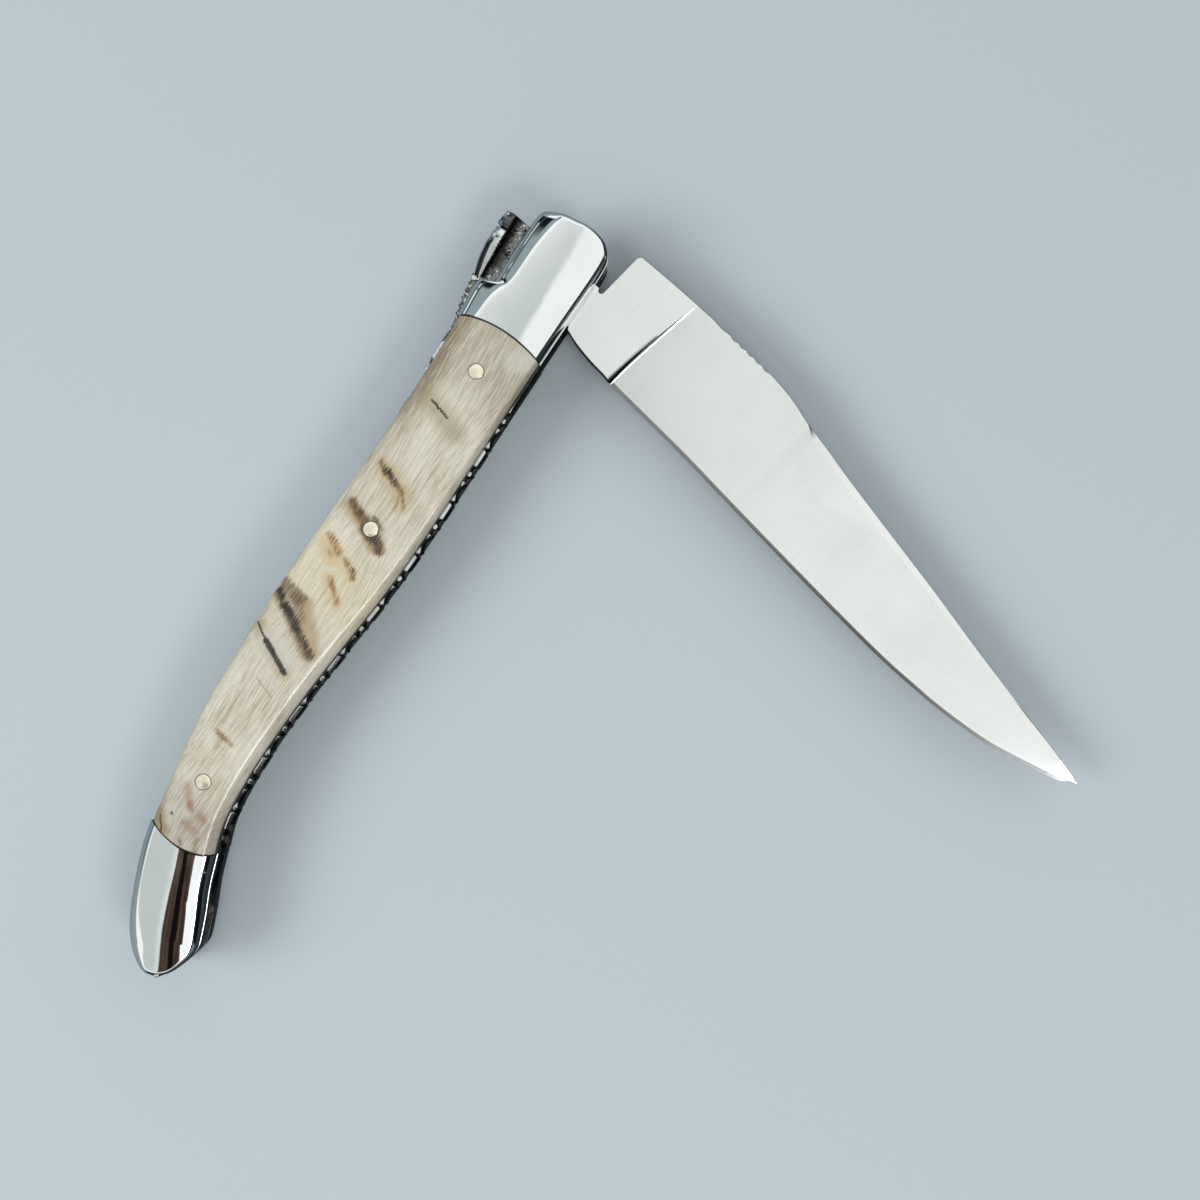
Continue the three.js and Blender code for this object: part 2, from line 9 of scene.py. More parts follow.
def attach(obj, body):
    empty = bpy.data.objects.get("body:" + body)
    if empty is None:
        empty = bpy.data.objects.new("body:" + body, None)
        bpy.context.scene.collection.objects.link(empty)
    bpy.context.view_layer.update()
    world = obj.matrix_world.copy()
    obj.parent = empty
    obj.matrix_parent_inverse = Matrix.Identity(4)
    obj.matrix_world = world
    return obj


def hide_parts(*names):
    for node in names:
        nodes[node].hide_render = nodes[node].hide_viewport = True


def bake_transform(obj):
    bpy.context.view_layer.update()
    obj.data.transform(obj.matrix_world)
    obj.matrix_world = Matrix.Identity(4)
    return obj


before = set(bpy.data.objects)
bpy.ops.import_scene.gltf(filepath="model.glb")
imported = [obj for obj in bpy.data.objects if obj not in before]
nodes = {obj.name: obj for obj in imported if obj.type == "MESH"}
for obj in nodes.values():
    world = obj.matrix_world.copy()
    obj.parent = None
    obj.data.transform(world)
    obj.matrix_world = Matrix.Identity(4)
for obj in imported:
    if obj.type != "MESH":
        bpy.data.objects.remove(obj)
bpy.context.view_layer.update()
print("loaded the frame:", len(nodes), "CAD nodes")

mm = 0.001


# Curves

def through(points):
    # A smooth height curve through (place, value) points: cubic pieces, each point's slope being that of
    # the chord between its two neighbours.
    places = np.array([p[0] for p in points], float)
    values = np.array([p[1] for p in points], float)
    before = np.maximum(np.arange(len(places)) - 1, 0)
    after = np.minimum(np.arange(len(places)) + 1, len(places) - 1)
    slopes = (values[after] - values[before]) / (places[after] - places[before])

    def at(x):
        x = np.clip(np.asarray(x, float), places[0], places[-1])
        i = np.clip(np.searchsorted(places, x, side="right") - 1, 0, len(places) - 2)
        span = places[i + 1] - places[i]
        t = (x - places[i]) / span
        rise = values[i + 1] - values[i]
        start = slopes[i] * span - rise
        end = rise - slopes[i + 1] * span
        return values[i] + t * rise + t * (1 - t) * (start * (1 - t) + end * t)

    return at


def smoothLoop(points, perSpan):
    # A closed curve through the points whose bending never jumps: a cubic spline for x and for y over the
    # square root of the chord lengths, with the second slopes found from one set of linear equations.
    p = np.array(points, float)
    n = len(p)
    step = np.sqrt(np.linalg.norm(np.roll(p, -1, 0) - p, axis=1))
    last = np.roll(step, 1)
    system = np.zeros((n, n))
    rows = np.arange(n)
    system[rows, (rows - 1) % n] = last
    system[rows, rows] = 2 * (last + step)
    system[rows, (rows + 1) % n] = step
    ahead = (np.roll(p, -1, 0) - p) / step[:, None]
    behind = (p - np.roll(p, 1, 0)) / last[:, None]
    bend = np.linalg.solve(system, 6 * (ahead - behind))
    t = np.linspace(0, 1, perSpan, endpoint=False)[None, :, None]
    h = step[:, None, None]
    p0, p1 = p[:, None], np.roll(p, -1, 0)[:, None]
    m0, m1 = bend[:, None], np.roll(bend, -1, 0)[:, None]
    curve = (1 - t) * p0 + t * p1 + h ** 2 / 6 * (((1 - t) ** 3 - (1 - t)) * m0 + (t ** 3 - t) * m1)
    return curve.reshape(-1, 2)


def smoothstep(x, low, high):
    t = np.clip((np.asarray(x, float) - low) / (high - low), 0, 1)
    return t * t * (3 - 2 * t)


def between(x, rise, fall):
    # Rises from none to one over the first pair of places and falls again over the second.
    return smoothstep(x, *rise) * (1 - smoothstep(x, *fall))


def alongArc(points, places):
    # Points of an open line at shares of its length.
    run = np.concatenate([[0], np.cumsum(np.linalg.norm(np.diff(points, axis=0), axis=1))])
    run /= run[-1]
    return np.stack([np.interp(places, run, points[:, k]) for k in (0, 1)], 1)


# Meshes

def stripFaces(first, second):
    return np.stack([first[:-1], first[1:], second[1:], second[:-1]], 1)


def gridFaces(ids):
    return np.stack([ids[:-1, :-1], ids[1:, :-1], ids[1:, 1:], ids[:-1, 1:]], -1).reshape(-1, 4)


def makeMesh(name, points, faces, sharp=32, attributes=None):
    mesh = bpy.data.meshes.new(name)
    mesh.from_pydata((np.asarray(points, float) * mm).tolist(), [], faces)
    for key, values in (attributes or {}).items():
        made = mesh.attributes.new(key, "FLOAT", "POINT")
        made.data.foreach_set("value", np.asarray(values, np.float32).ravel())
    work = bmesh.new()
    work.from_mesh(mesh)
    bmesh.ops.remove_doubles(work, verts=work.verts, dist=1e-7)
    bmesh.ops.dissolve_degenerate(work, edges=work.edges, dist=1e-8)
    bmesh.ops.recalc_face_normals(work, faces=work.faces)
    work.to_mesh(mesh)
    work.free()
    mesh.polygons.foreach_set("use_smooth", [True] * len(mesh.polygons))
    mesh.set_sharp_from_angle(angle=math.radians(sharp))
    thing = bpy.data.objects.new(name, mesh)
    bpy.context.scene.collection.objects.link(thing)
    return thing


def slab(name, top, bottom, capStart=False, capEnd=False, sharp=32, attributes=None):
    # A closed plate between two grids of the same shape, joined along their long sides and, where asked,
    # along the first and the last column.
    count = top.shape[0] * top.shape[1]
    ids = np.arange(count).reshape(top.shape[:2])
    under = ids + count
    faces = [gridFaces(ids), gridFaces(under)[:, ::-1]]
    faces.append(stripFaces(ids[:, 0], under[:, 0]))
    faces.append(stripFaces(ids[:, -1], under[:, -1]))
    if capStart:
        faces.append(stripFaces(ids[0], under[0]))
    if capEnd:
        faces.append(stripFaces(ids[-1], under[-1]))
    points = np.concatenate([top.reshape(-1, 3), bottom.reshape(-1, 3)])
    return makeMesh(name, points, np.concatenate(faces).tolist(), sharp, attributes)


def tube(name, rings, capStart=False, capEnd=False, sharp=32, attributes=None):
    # A closed section carried along stations: rings is stations by points by three.
    stations, count = rings.shape[:2]
    ids = np.arange(stations * count).reshape(stations, count)
    closed = np.concatenate([ids, ids[:, :1]], 1)
    faces = gridFaces(closed).tolist()
    if capStart:
        faces.append(ids[0].tolist())
    if capEnd:
        faces.append(ids[-1][::-1].tolist())
    return makeMesh(name, rings.reshape(-1, 3), faces, sharp, attributes)


# Material nodes

def srgb(red, green, blue):
    values = np.array([red, green, blue]) / 255
    linear = np.where(values <= 0.04045, values / 12.92, ((values + 0.055) / 1.055) ** 2.4)
    return (*linear.tolist(), 1.0)


def feed(tree, node, inputs):
    # Gives each named input of a node a link or a value of its own.
    for key, value in inputs.items():
        socket = node.inputs[key]
        if isinstance(value, bpy.types.NodeSocket):
            tree.links.new(value, socket)
        else:
            socket.default_value = value


def put(tree, kind, inputs=None, **settings):
    made = tree.nodes.new(kind)
    for key, value in settings.items():
        setattr(made, key, value)
    feed(tree, made, inputs or {})
    return made


def maths(tree, operation, a, b=0.0, c=0.0, clamp=False):
    return put(tree, "ShaderNodeMath", {0: a, 1: b, 2: c}, operation=operation, use_clamp=clamp).outputs[0]


def times(tree, value, *factors):
    for factor in factors:
        value = maths(tree, "MULTIPLY", value, factor)
    return value


def scaled(tree, value, factor, plus, clamp=False):
    return maths(tree, "MULTIPLY_ADD", value, factor, plus, clamp)


def vectorMaths(tree, operation, a, b=(0, 0, 0)):
    made = put(tree, "ShaderNodeVectorMath", {0: a, 1: b}, operation=operation)
    return made.outputs["Value" if operation in ("DOT_PRODUCT", "DISTANCE", "LENGTH") else "Vector"]


def combined(tree, x=0.0, y=0.0, z=0.0):
    return put(tree, "ShaderNodeCombineXYZ", {0: x, 1: y, 2: z}).outputs[0]


def parted(tree, vector):
    return put(tree, "ShaderNodeSeparateXYZ", {0: vector}).outputs


def attribute(tree, name):
    return put(tree, "ShaderNodeAttribute", attribute_name=name).outputs["Fac"]


def ranged(tree, value, low, high, toLow=0.0, toHigh=1.0, kind="SMOOTHSTEP"):
    inputs = {0: value, 1: low, 2: high, 3: toLow, 4: toHigh}
    return put(tree, "ShaderNodeMapRange", inputs, interpolation_type=kind).outputs[0]


def mixed(tree, share, first, second):
    return put(tree, "ShaderNodeMix", {0: share, 6: first, 7: second}, data_type="RGBA").outputs[2]


def noise(tree, vector, scale, detail=3.0, rough=0.5):
    inputs = {"Vector": vector, "Scale": scale, "Detail": detail, "Roughness": rough}
    return put(tree, "ShaderNodeTexNoise", inputs).outputs[0]


def stretched(tree, vector, scale, turn=0.0):
    # Object coordinates in millimetres, turned about Z and stretched.
    inputs = {"Vector": vector, "Rotation": (0, 0, turn), "Scale": scale}
    return put(tree, "ShaderNodeMapping", inputs).outputs[0]


def bump(tree, height, distance, strength):
    inputs = {"Height": height, "Distance": distance * mm, "Strength": strength}
    return put(tree, "ShaderNodeBump", inputs).outputs[0]


def newMaterial(name):
    material = bpy.data.materials.new(name)
    material.use_nodes = True
    tree = material.node_tree
    coords = put(tree, "ShaderNodeTexCoord").outputs["Object"]
    return material, tree, tree.nodes["Principled BSDF"], stretched(tree, coords, (1000, 1000, 1000))


def polishedSteel():
    # A mirror with faint clouds, fine scratches and a very low wave.
    finish = {"tone": srgb(246, 249, 249), "dull": srgb(234, 238, 238), "rough": 0.03, "roughDull": 0.06,
              "roughScratch": 0.03}
    material, tree, shader, at = newMaterial("polishedSteel")
    cloud = noise(tree, at, 0.22, 4, 0.55)
    scratches = noise(tree, stretched(tree, at, (0.35, 9, 9), 0.35), 1.0, 2, 0.6)
    fine = ranged(tree, scratches, 0.62, 0.78)
    share = times(tree, ranged(tree, cloud, 0.42, 0.75), 0.5)
    rough = ranged(tree, cloud, 0.3, 0.8, finish["rough"], finish["roughDull"])
    wave = maths(tree, "ADD", noise(tree, at, 0.16, 2), times(tree, fine, 0.012))
    feed(tree, shader, {
        "Base Color": mixed(tree, share, finish["tone"], finish["dull"]), "Metallic": 1.0,
        "Roughness": scaled(tree, fine, finish["roughScratch"], rough),
        "Normal": bump(tree, wave, 0.02, 0.5)})
    return material


def groundSteel(turn):
    # Fine lines along the blade. The "shade" attribute blackens: painted shade at the plunge and a painted
    # darker reflection on the edge bevel.
    finish = {"tone": srgb(244, 246, 244), "worn": srgb(232, 236, 234), "black": srgb(10, 12, 13),
              "rough": 0.15, "roughWorn": 0.2, "roughLine": 0.07, "anisotropic": 0.35}
    material, tree, shader, at = newMaterial("bladeSteel")
    local = stretched(tree, at, (1, 1, 1), turn)
    lines = noise(tree, stretched(tree, local, (7, 0.16, 1)), 1.0, 3, 0.65)
    long = noise(tree, stretched(tree, local, (0.08, 3.5, 1)), 1.0, 2)
    cloud = noise(tree, at, 0.08)
    share = scaled(tree, ranged(tree, lines, 0.35, 0.75), 0.35, ranged(tree, cloud, 0.4, 0.7, 0, 0.4))
    tone = mixed(tree, share, finish["tone"], finish["worn"])
    rough = ranged(tree, cloud, 0.3, 0.8, finish["rough"], finish["roughWorn"])
    height = scaled(tree, lines, 0.7, times(tree, long, 0.3))
    feed(tree, shader, {
        "Base Color": mixed(tree, attribute(tree, "shade"), tone, finish["black"]), "Metallic": 1.0,
        "Roughness": scaled(tree, lines, finish["roughLine"], rough), "Anisotropic": finish["anisotropic"],
        "Normal": bump(tree, height, 0.003, 0.25)})
    return material


def linerSteel():
    # Bright steel with lines from the polishing across the edge.
    finish = {"tone": srgb(218, 221, 221), "dull": srgb(186, 190, 192), "rough": 0.06, "roughLine": 0.17}
    material, tree, shader, at = newMaterial("linerSteel")
    lines = noise(tree, stretched(tree, at, (0.5, 2, 14)), 1.0, 3, 0.6)
    cloud = noise(tree, at, 0.5)
    feed(tree, shader, {
        "Base Color": mixed(tree, ranged(tree, cloud, 0.3, 0.75), finish["tone"], finish["dull"]),
        "Metallic": 1.0, "Roughness": ranged(tree, lines, 0.3, 0.75, finish["rough"], finish["roughLine"]),
        "Normal": bump(tree, lines, 0.006, 0.4)})
    return material


def forgedSteel():
    # Dull forged skin with clusters of black pits. Where the "polish" attribute is high it is worn bright
    # with a few pits, between the two only the ridges are, and the "shade" attribute blackens with painted
    # shade and painted darker reflection.
    finish = {"dark": srgb(118, 117, 113), "mid": srgb(172, 171, 166), "pale": srgb(205, 204, 198),
              "pit": srgb(12, 11, 11), "bright": srgb(232, 235, 235), "black": srgb(10, 10, 10),
              "rough": 0.38, "roughDull": 0.6, "roughWorn": 0.09}
    material, tree, shader, at = newMaterial("forgedSteel")
    cells = put(tree, "ShaderNodeTexVoronoi", {"Vector": at, "Scale": 2.7}).outputs["Distance"]
    cloud = noise(tree, at, 0.9, 3, 0.55)
    grain = noise(tree, at, 4.5, 3, 0.6)
    spots = noise(tree, at, 2.6, 3, 0.7)
    skin = mixed(tree, ranged(tree, cloud, 0.35, 0.62), finish["dark"], finish["mid"])
    skin = mixed(tree, ranged(tree, grain, 0.5, 0.8, 0, 0.6), skin, finish["pale"])
    cluster = ranged(tree, noise(tree, at, 0.62, 2), 0.46, 0.60, 0.0, 0.13)
    pitted = ranged(tree, maths(tree, "ADD", spots, cluster), 0.67, 0.71)
    skin = mixed(tree, pitted, skin, finish["pit"])
    polish = attribute(tree, "polish")
    worn = ranged(tree, scaled(tree, polish, 0.75, cells), 0.74, 0.86)
    ground = mixed(tree, ranged(tree, polish, 0.05, 0.3), skin, finish["pit"])
    tone = mixed(tree, worn, ground, finish["bright"])
    dull = ranged(tree, grain, 0.3, 0.7, finish["rough"], finish["roughDull"])
    height = scaled(tree, pitted, -1.0, scaled(tree, worn, 1.5, grain))
    feed(tree, shader, {
        "Base Color": mixed(tree, attribute(tree, "shade"), tone, finish["black"]), "Metallic": 1.0,
        "Roughness": scaled(tree, maths(tree, "SUBTRACT", finish["roughWorn"], dull), worn, dull),
        "Normal": bump(tree, height, 0.04, 0.8)})
    return material


def nickelSilver():
    # A warm white metal with cloudy tone and fine lines.
    finish = {"tone": srgb(252, 244, 222), "dull": srgb(240, 228, 198), "metallic": 0.6, "rough": 0.1,
              "roughLine": 0.2}
    material, tree, shader, at = newMaterial("nickelSilver")
    cloud = noise(tree, at, 1.4, 4, 0.6)
    lines = noise(tree, stretched(tree, at, (12, 1.5, 1), 0.6), 1.0, 2)
    feed(tree, shader, {
        "Base Color": mixed(tree, ranged(tree, cloud, 0.35, 0.7), finish["tone"], finish["dull"]),
        "Metallic": finish["metallic"],
        "Roughness": ranged(tree, lines, 0.3, 0.75, finish["rough"], finish["roughLine"]),
        "Normal": bump(tree, lines, 0.004, 0.3)})
    return material


def segmentMask(tree, at, start, end, width, soft):
    # One where a point is nearer than width to the line from start to end, falling to nothing over soft.
    a = np.array([*start, 0.0])
    b = np.array([*end, 0.0])
    length = float(np.dot(b - a, b - a))
    fromStart = vectorMaths(tree, "SUBTRACT", at, tuple(a))
    along = vectorMaths(tree, "DOT_PRODUCT", fromStart, tuple((b - a) / length))
    share = maths(tree, "ADD", along, 0.0, clamp=True)
    foot = put(tree, "ShaderNodeVectorMath", {0: tuple(b - a), "Scale": share}, operation="SCALE").outputs[0]
    return ranged(tree, vectorMaths(tree, "DISTANCE", fromStart, foot), width, width + soft, 1, 0)


# Halos of the horn: from, to, half width, softness, colour and strength, in the plane of the scales
hornHalos = [
    ((-24.1, 6.2), (-25.9, 1.0), 0.2, 2.7, (150, 135, 102), 0.62),
    ((-13.4, -0.6), (-12.2, -2.2), 0.5, 1.9, (198, 197, 184), 0.6),
    ((-35.1, 6.6), (-37.2, 2.0), 0.5, 1.5, (184, 158, 114), 0.6),
    ((-35.3, 6.4), (-36.5, 3.0), 0.15, 0.6, (134, 96, 54), 0.45),
    ((-41.6, 7.3), (-43.1, 4.2), 0.35, 0.6, (138, 92, 36), 0.7),
    ((-43.6, 3.6), (-45.0, 0.8), 0.6, 0.6, (128, 86, 38), 0.65),
    ((-57.4, 9.0), (-62.4, 0.8), 0.6, 0.7, (140, 104, 62), 0.55),
    ((-37.0, 2.4), (-38.8, 1.6), 0.3, 1.1, (186, 164, 120), 0.55),
    ((-41.9, 7.3), (-43.2, 4.4), 0.4, 1.4, (168, 142, 98), 0.7),
    ((-43.2, 3.4), (-44.6, 1.8), 0.7, 1.3, (160, 134, 92), 0.7),
    ((-47.8, 7.3), (-49.2, 5.8), 0.7, 1.3, (202, 178, 130), 0.6),
    ((-48.4, 6.0), (-50.0, 1.9), 0.4, 1.4, (204, 180, 132), 0.55),
    ((-52.0, 4.5), (-54.5, 1.4), 0.3, 1.2, (204, 176, 124), 0.5),
    ((-55.9, 8.8), (-56.5, 5.2), 0.3, 1.0, (178, 152, 112), 0.7),
    ((-57.0, 5.0), (-61.6, 1.0), 0.5, 1.3, (168, 142, 104), 0.7),
    ((-62.6, 8.6), (-66.0, 2.6), 0.3, 1.5, (160, 142, 108), 0.6),
    ((-63.4, 6.8), (-64.4, 3.0), 0.5, 1.6, (206, 204, 196), 0.6),
    ((-77.7, 5.6), (-78.2, 2.9), 0.05, 0.6, (160, 128, 84), 0.7),
    ((-79.8, 4.7), (-78.2, 4.5), 0.05, 0.5, (164, 134, 94), 0.6),
    ((-86.3, 5.0), (-88.2, 3.3), 0.0, 1.0, (164, 128, 106), 0.6),
    ((-88.1, 3.3), (-88.6, 2.7), 0.1, 0.7, (146, 102, 80), 0.7),
    ((-88.7, 1.0), (-89.0, 0.7), 0.0, 0.9, (150, 110, 88), 0.65),
    ((-90.5, 2.6), (-90.9, 0.9), 0.0, 1.1, (158, 128, 106), 0.65),
    ((-91.6, 6.6), (-93.2, 4.6), 0.4, 1.2, (142, 122, 80), 0.8),
    ((-91.6, -0.3), (-93.4, -0.8), 0.0, 0.6, (124, 102, 70), 0.6),
]
# Marks of the horn, with combed edges: as above, and how much the grain shows through each
hornMarks = [
    ((-23.9, 5.9), (-24.75, 2.8), 0.06, 0.2, (52, 28, 10), 0.99, 0.1),
    ((-24.0, 5.2), (-24.5, 4.5), 0.02, 0.15, (84, 52, 26), 0.9, 0.1),
    ((-34.9, 7.2), (-35.7, 5.4), 0.1, 0.45, (96, 62, 30), 0.9, 0.7),
    ((-35.3, 5.9), (-36.1, 4.2), 0.25, 0.45, (34, 18, 7), 0.98, 0.45),
    ((-36.1, 4.2), (-36.6, 2.9), 0.06, 0.4, (92, 58, 28), 0.9, 0.6),
    ((-36.6, 2.7), (-38.4, 1.2), 0.03, 0.35, (96, 62, 32), 0.9, 0.6),
    ((-37.0, 2.7), (-39.2, 2.2), 0.0, 0.25, (118, 84, 48), 0.75, 0.6),
    ((-41.4, 7.4), (-42.3, 5.6), 0.3, 0.55, (70, 38, 12), 0.94, 0.5),
    ((-42.3, 5.4), (-43.0, 4.3), 0.3, 0.6, (84, 56, 26), 0.8, 0.6),
    ((-41.8, 4.0), (-42.4, 2.2), 0.05, 0.4, (78, 46, 18), 0.85, 0.5),
    ((-43.4, 3.6), (-43.9, 2.6), 0.85, 0.45, (44, 28, 14), 0.9, 0.45),
    ((-43.9, 2.3), (-45.3, 0.5), 0.28, 0.5, (34, 18, 8), 0.97, 0.45),
    ((-47.0, 7.4), (-48.4, 5.2), 0.2, 0.6, (132, 92, 44), 0.9, 0.85),
    ((-48.8, 6.6), (-49.2, 6.0), 0.1, 0.5, (156, 120, 66), 0.7, 0.85),
    ((-48.8, 3.8), (-49.4, 2.4), 0.15, 0.5, (124, 80, 36), 0.92, 0.75),
    ((-49.4, 2.0), (-50.3, 1.5), 0.15, 0.35, (104, 64, 28), 0.92, 0.5),
    ((-51.9, 4.3), (-54.3, 1.5), 0.18, 0.5, (146, 100, 46), 0.9, 0.85),
    ((-56.0, 8.9), (-56.5, 6.4), 0.8, 0.5, (90, 74, 56), 0.85, 0.65),
    ((-56.6, 6.6), (-58.6, 4.6), 0.45, 0.6, (104, 80, 54), 0.8, 0.7),
    ((-57.0, 9.4), (-58.6, 6.9), 0.3, 0.45, (28, 17, 10), 0.99, 0.3),
    ((-58.4, 7.2), (-60.0, 4.5), 0.38, 0.5, (28, 16, 8), 0.99, 0.3),
    ((-60.0, 4.5), (-62.3, 0.8), 0.3, 0.5, (34, 18, 8), 0.98, 0.5),
    ((-62.3, 9.3), (-63.7, 7.0), 0.05, 0.22, (38, 28, 20), 0.96, 0.1),
    ((-63.7, 7.0), (-66.1, 2.4), 0.2, 0.35, (24, 17, 13), 0.98, 0.1),
    ((-68.7, 5.1), (-69.9, 1.7), 0.0, 0.2, (136, 112, 78), 0.6, 0.2),
    ((-72.0, 3.6), (-75.6, 2.5), 0.0, 0.25, (172, 150, 112), 0.5, 0.3),
    ((-77.9, 5.2), (-78.2, 3.8), 0.02, 0.3, (74, 48, 28), 0.9, 0.5),
    ((-90.4, 4.7), (-90.6, 4.6), 0.06, 0.2, (70, 52, 38), 0.9, 0.2),
    ((-91.7, 5.9), (-93.3, 4.6), 0.04, 0.2, (36, 25, 17), 0.97, 0.1),
    ((-93.0, 1.8), (-93.4, 1.2), 0.05, 0.3, (60, 42, 28), 0.8, 0.4),
]


def hornScale(rivetSpots):
    # Tones by place, then the grain, then soft halos and dark marks along short lines.
    finish = {"pale": srgb(214, 208, 191), "beige": srgb(196, 188, 167), "taupe": srgb(138, 121, 94),
              "grey": srgb(166, 158, 138), "warm": srgb(212, 202, 174), "rear": srgb(170, 160, 146),
              "line": srgb(106, 93, 74), "shine": srgb(236, 232, 220), "ring": srgb(52, 40, 30),
              "joint": srgb(26, 20, 16), "ringAt": (1.08, 1.22), "leftMoved": (6.5, -1.2), "rough": 0.26,
              "roughDull": 0.4}
    material, tree, shader, at = newMaterial("hornScale")
    x, y, z = parted(tree, at)
    # The left side is cut from another place of the horn, so its pattern is moved along.
    left = maths(tree, "LESS_THAN", z, handle["midPlane"])
    x, y = [scaled(tree, left, amount, value) for amount, value in zip(finish["leftMoved"], (x, y))]
    moved = combined(tree, x, y, z)
    # The grain runs lengthwise in slow waves.
    swing = noise(tree, stretched(tree, moved, (0.05, 0.10, 0.10)), 1.0, 1, 0.4)
    along = vectorMaths(tree, "ADD", moved, combined(tree, y=scaled(tree, swing, 3.0, -1.5)))
    grain = noise(tree, stretched(tree, along, (0.16, 3.2, 3.2)), 1.0, 2)
    finer = noise(tree, stretched(tree, along, (0.32, 6.8, 6.8)), 1.0, 2)
    ripple = noise(tree, stretched(tree, along, (5.5, 0.9, 0.9), 0.12), 1.0, 2)
    cloud = noise(tree, stretched(tree, moved, (0.10, 0.2, 0.2)), 1.0, 3, 0.55)
    # Tones by place: grey at the front, taupe along its back edge, warm in the middle and dull at the rear
    tone = mixed(tree, ranged(tree, cloud, 0.38, 0.66), finish["pale"], finish["beige"])
    front = ranged(tree, scaled(tree, cloud, 12.0, x), -20.0, -9.0)
    tone = mixed(tree, times(tree, front, 0.8), tone, finish["grey"])
    upper = ranged(tree, scaled(tree, swing, 3.0, y), 7.4, 9.4)
    tone = mixed(tree, times(tree, upper, ranged(tree, x, -36.0, -24.0, 0.0, 0.85)), tone, finish["taupe"])
    middle = times(tree, ranged(tree, x, -62.0, -54.0), ranged(tree, x, -52.0, -42.0, 1, 0))
    tone = mixed(tree, times(tree, middle, 0.8), tone, finish["warm"])
    rear = ranged(tree, scaled(tree, cloud, 8.0, x), -78.0, -86.0)
    tone = mixed(tree, times(tree, rear, 0.75), tone, finish["rear"])
    # Grain lines, dark and bright
    depth = scaled(tree, cloud, 1.1, -0.2, clamp=True)
    strong = ranged(tree, finer, 0.50, 0.66, 0, 0.66)
    tone = mixed(tree, times(tree, strong, depth), tone, finish["line"])
    tone = mixed(tree, ranged(tree, grain, 0.54, 0.76, 0, 0.2), tone, finish["line"])
    tone = mixed(tree, ranged(tree, finer, 0.50, 0.36, 0, 0.36), tone, finish["shine"])
    tone = mixed(tree, ranged(tree, ripple, 0.52, 0.7, 0, 0.12), tone, finish["line"])
    # Marks lie across the grain, and the grain combs their edges out lengthwise.
    comb = noise(tree, stretched(tree, along, (0.35, 6.5, 6.5)), 1.0, 3, 0.75)
    flat = vectorMaths(tree, "MULTIPLY", moved, (1, 1, 0))
    drift = scaled(tree, noise(tree, moved, 0.45), 1.2, -0.6)
    shifts = [combined(tree, scaled(tree, comb, reach, -reach / 2), drift) for reach in (0.8, 3.0)]
    soft, combed = [vectorMaths(tree, "ADD", flat, shift) for shift in shifts]
    through = ranged(tree, comb, 0.44, 0.60)
    for start, end, width, fade, colour, strength in hornHalos:
        mask = segmentMask(tree, soft, start, end, width, fade)
        tone = mixed(tree, times(tree, mask, strength), tone, srgb(*colour))
    for start, end, width, fade, colour, strength, shows in hornMarks:
        mask = segmentMask(tree, combed if shows > 0.25 else soft, start, end, width, fade)
        held = scaled(tree, through, -shows * strength, strength)
        tone = mixed(tree, times(tree, mask, held), tone, srgb(*colour))
    # A thin dark line round each rivet, and dark where the "joint" attribute is high: the joints, and painted
    # shade at the belly edge's foot and behind the filed notches
    for spot in rivetSpots:
        level = vectorMaths(tree, "MULTIPLY", vectorMaths(tree, "SUBTRACT", at, (*spot, 0.0)), (1, 1, 0))
        ring = ranged(tree, vectorMaths(tree, "LENGTH", level), *finish["ringAt"], 0.85, 0)
        tone = mixed(tree, ring, tone, finish["ring"])
    feed(tree, shader, {
        "Base Color": mixed(tree, attribute(tree, "joint"), tone, finish["joint"]),
        "Roughness": ranged(tree, grain, 0.3, 0.7, finish["rough"], finish["roughDull"]),
        "Subsurface Weight": 0.06, "Subsurface Radius": (1.0, 0.7, 0.4), "Subsurface Scale": 0.0006,
        "Coat Weight": 0.6, "Coat Roughness": 0.08,
        "Normal": bump(tree, scaled(tree, finer, 0.5, grain), 0.008, 0.4)})
    return material


print("materials")


# Sizes shared by the handle's pieces, as in the CAD source
handle = {
    "front": 8.0, "rear": 111.25, "backRise": 10.2, "bellyFall": 8.25, "recessLevel": 8.15,
    "recessRear": 5.1, "recessStep": 1.4, "recessDepth": 2.05, "frontJoint": -10.5, "rearJoint": -94.03,
    "jointGap": 0.06, "midPlane": 6.3, "slot": 3.0, "liner": 1.2, "cover": 3.6, "wall": 1.7,
    "buttTaper": 0.7, "scaleInset": 0.3, "bolsterInset": 0.07,
}
backShares = [
    (0.103, 0.971), (0.165, 0.936), (0.298, 0.936), (0.387, 0.971), (0.476, 0.99), (0.54, 1),
    (0.609, 0.973), (0.698, 0.922), (0.786, 0.77), (0.858, 0.617), (0.912, 0.404), (0.947, 0.2255),
    (0.97, 0.07),
]
bellyShares = [
    (0.9865, 0.121), (0.9964, 0.315), (1, 0.485), (0.9964, 0.655), (0.9874, 0.806), (0.9744, 0.909),
    (0.96, 0.976), (0.9465, 1), (0.9348, 0.964), (0.918, 0.873), (0.901, 0.776), (0.872, 0.596),
    (0.835, 0.414), (0.8, 0.255), (0.762, 0.182), (0.707, 0.145), (0.617, 0.182), (0.526, 0.279),
    (0.435, 0.376), (0.344, 0.406), (0.252, 0.4), (0.089, 0.4), (0.025, 0.412),
]
stepShares = [(0, 0), (0.3, 0.19), (0.65, 0.72), (1, 0.94)]
frontShares = [
    (0.641, 0), (0.762, 0.035), (0.883, 0.113), (0.955, 0.216), (0.992, 0.329), (1, 0.45),
    (0.979, 0.58), (0.943, 0.736), (0.859, 0.883), (0.786, 0.957), (0.641, 0.991), (0.459, 1),
]


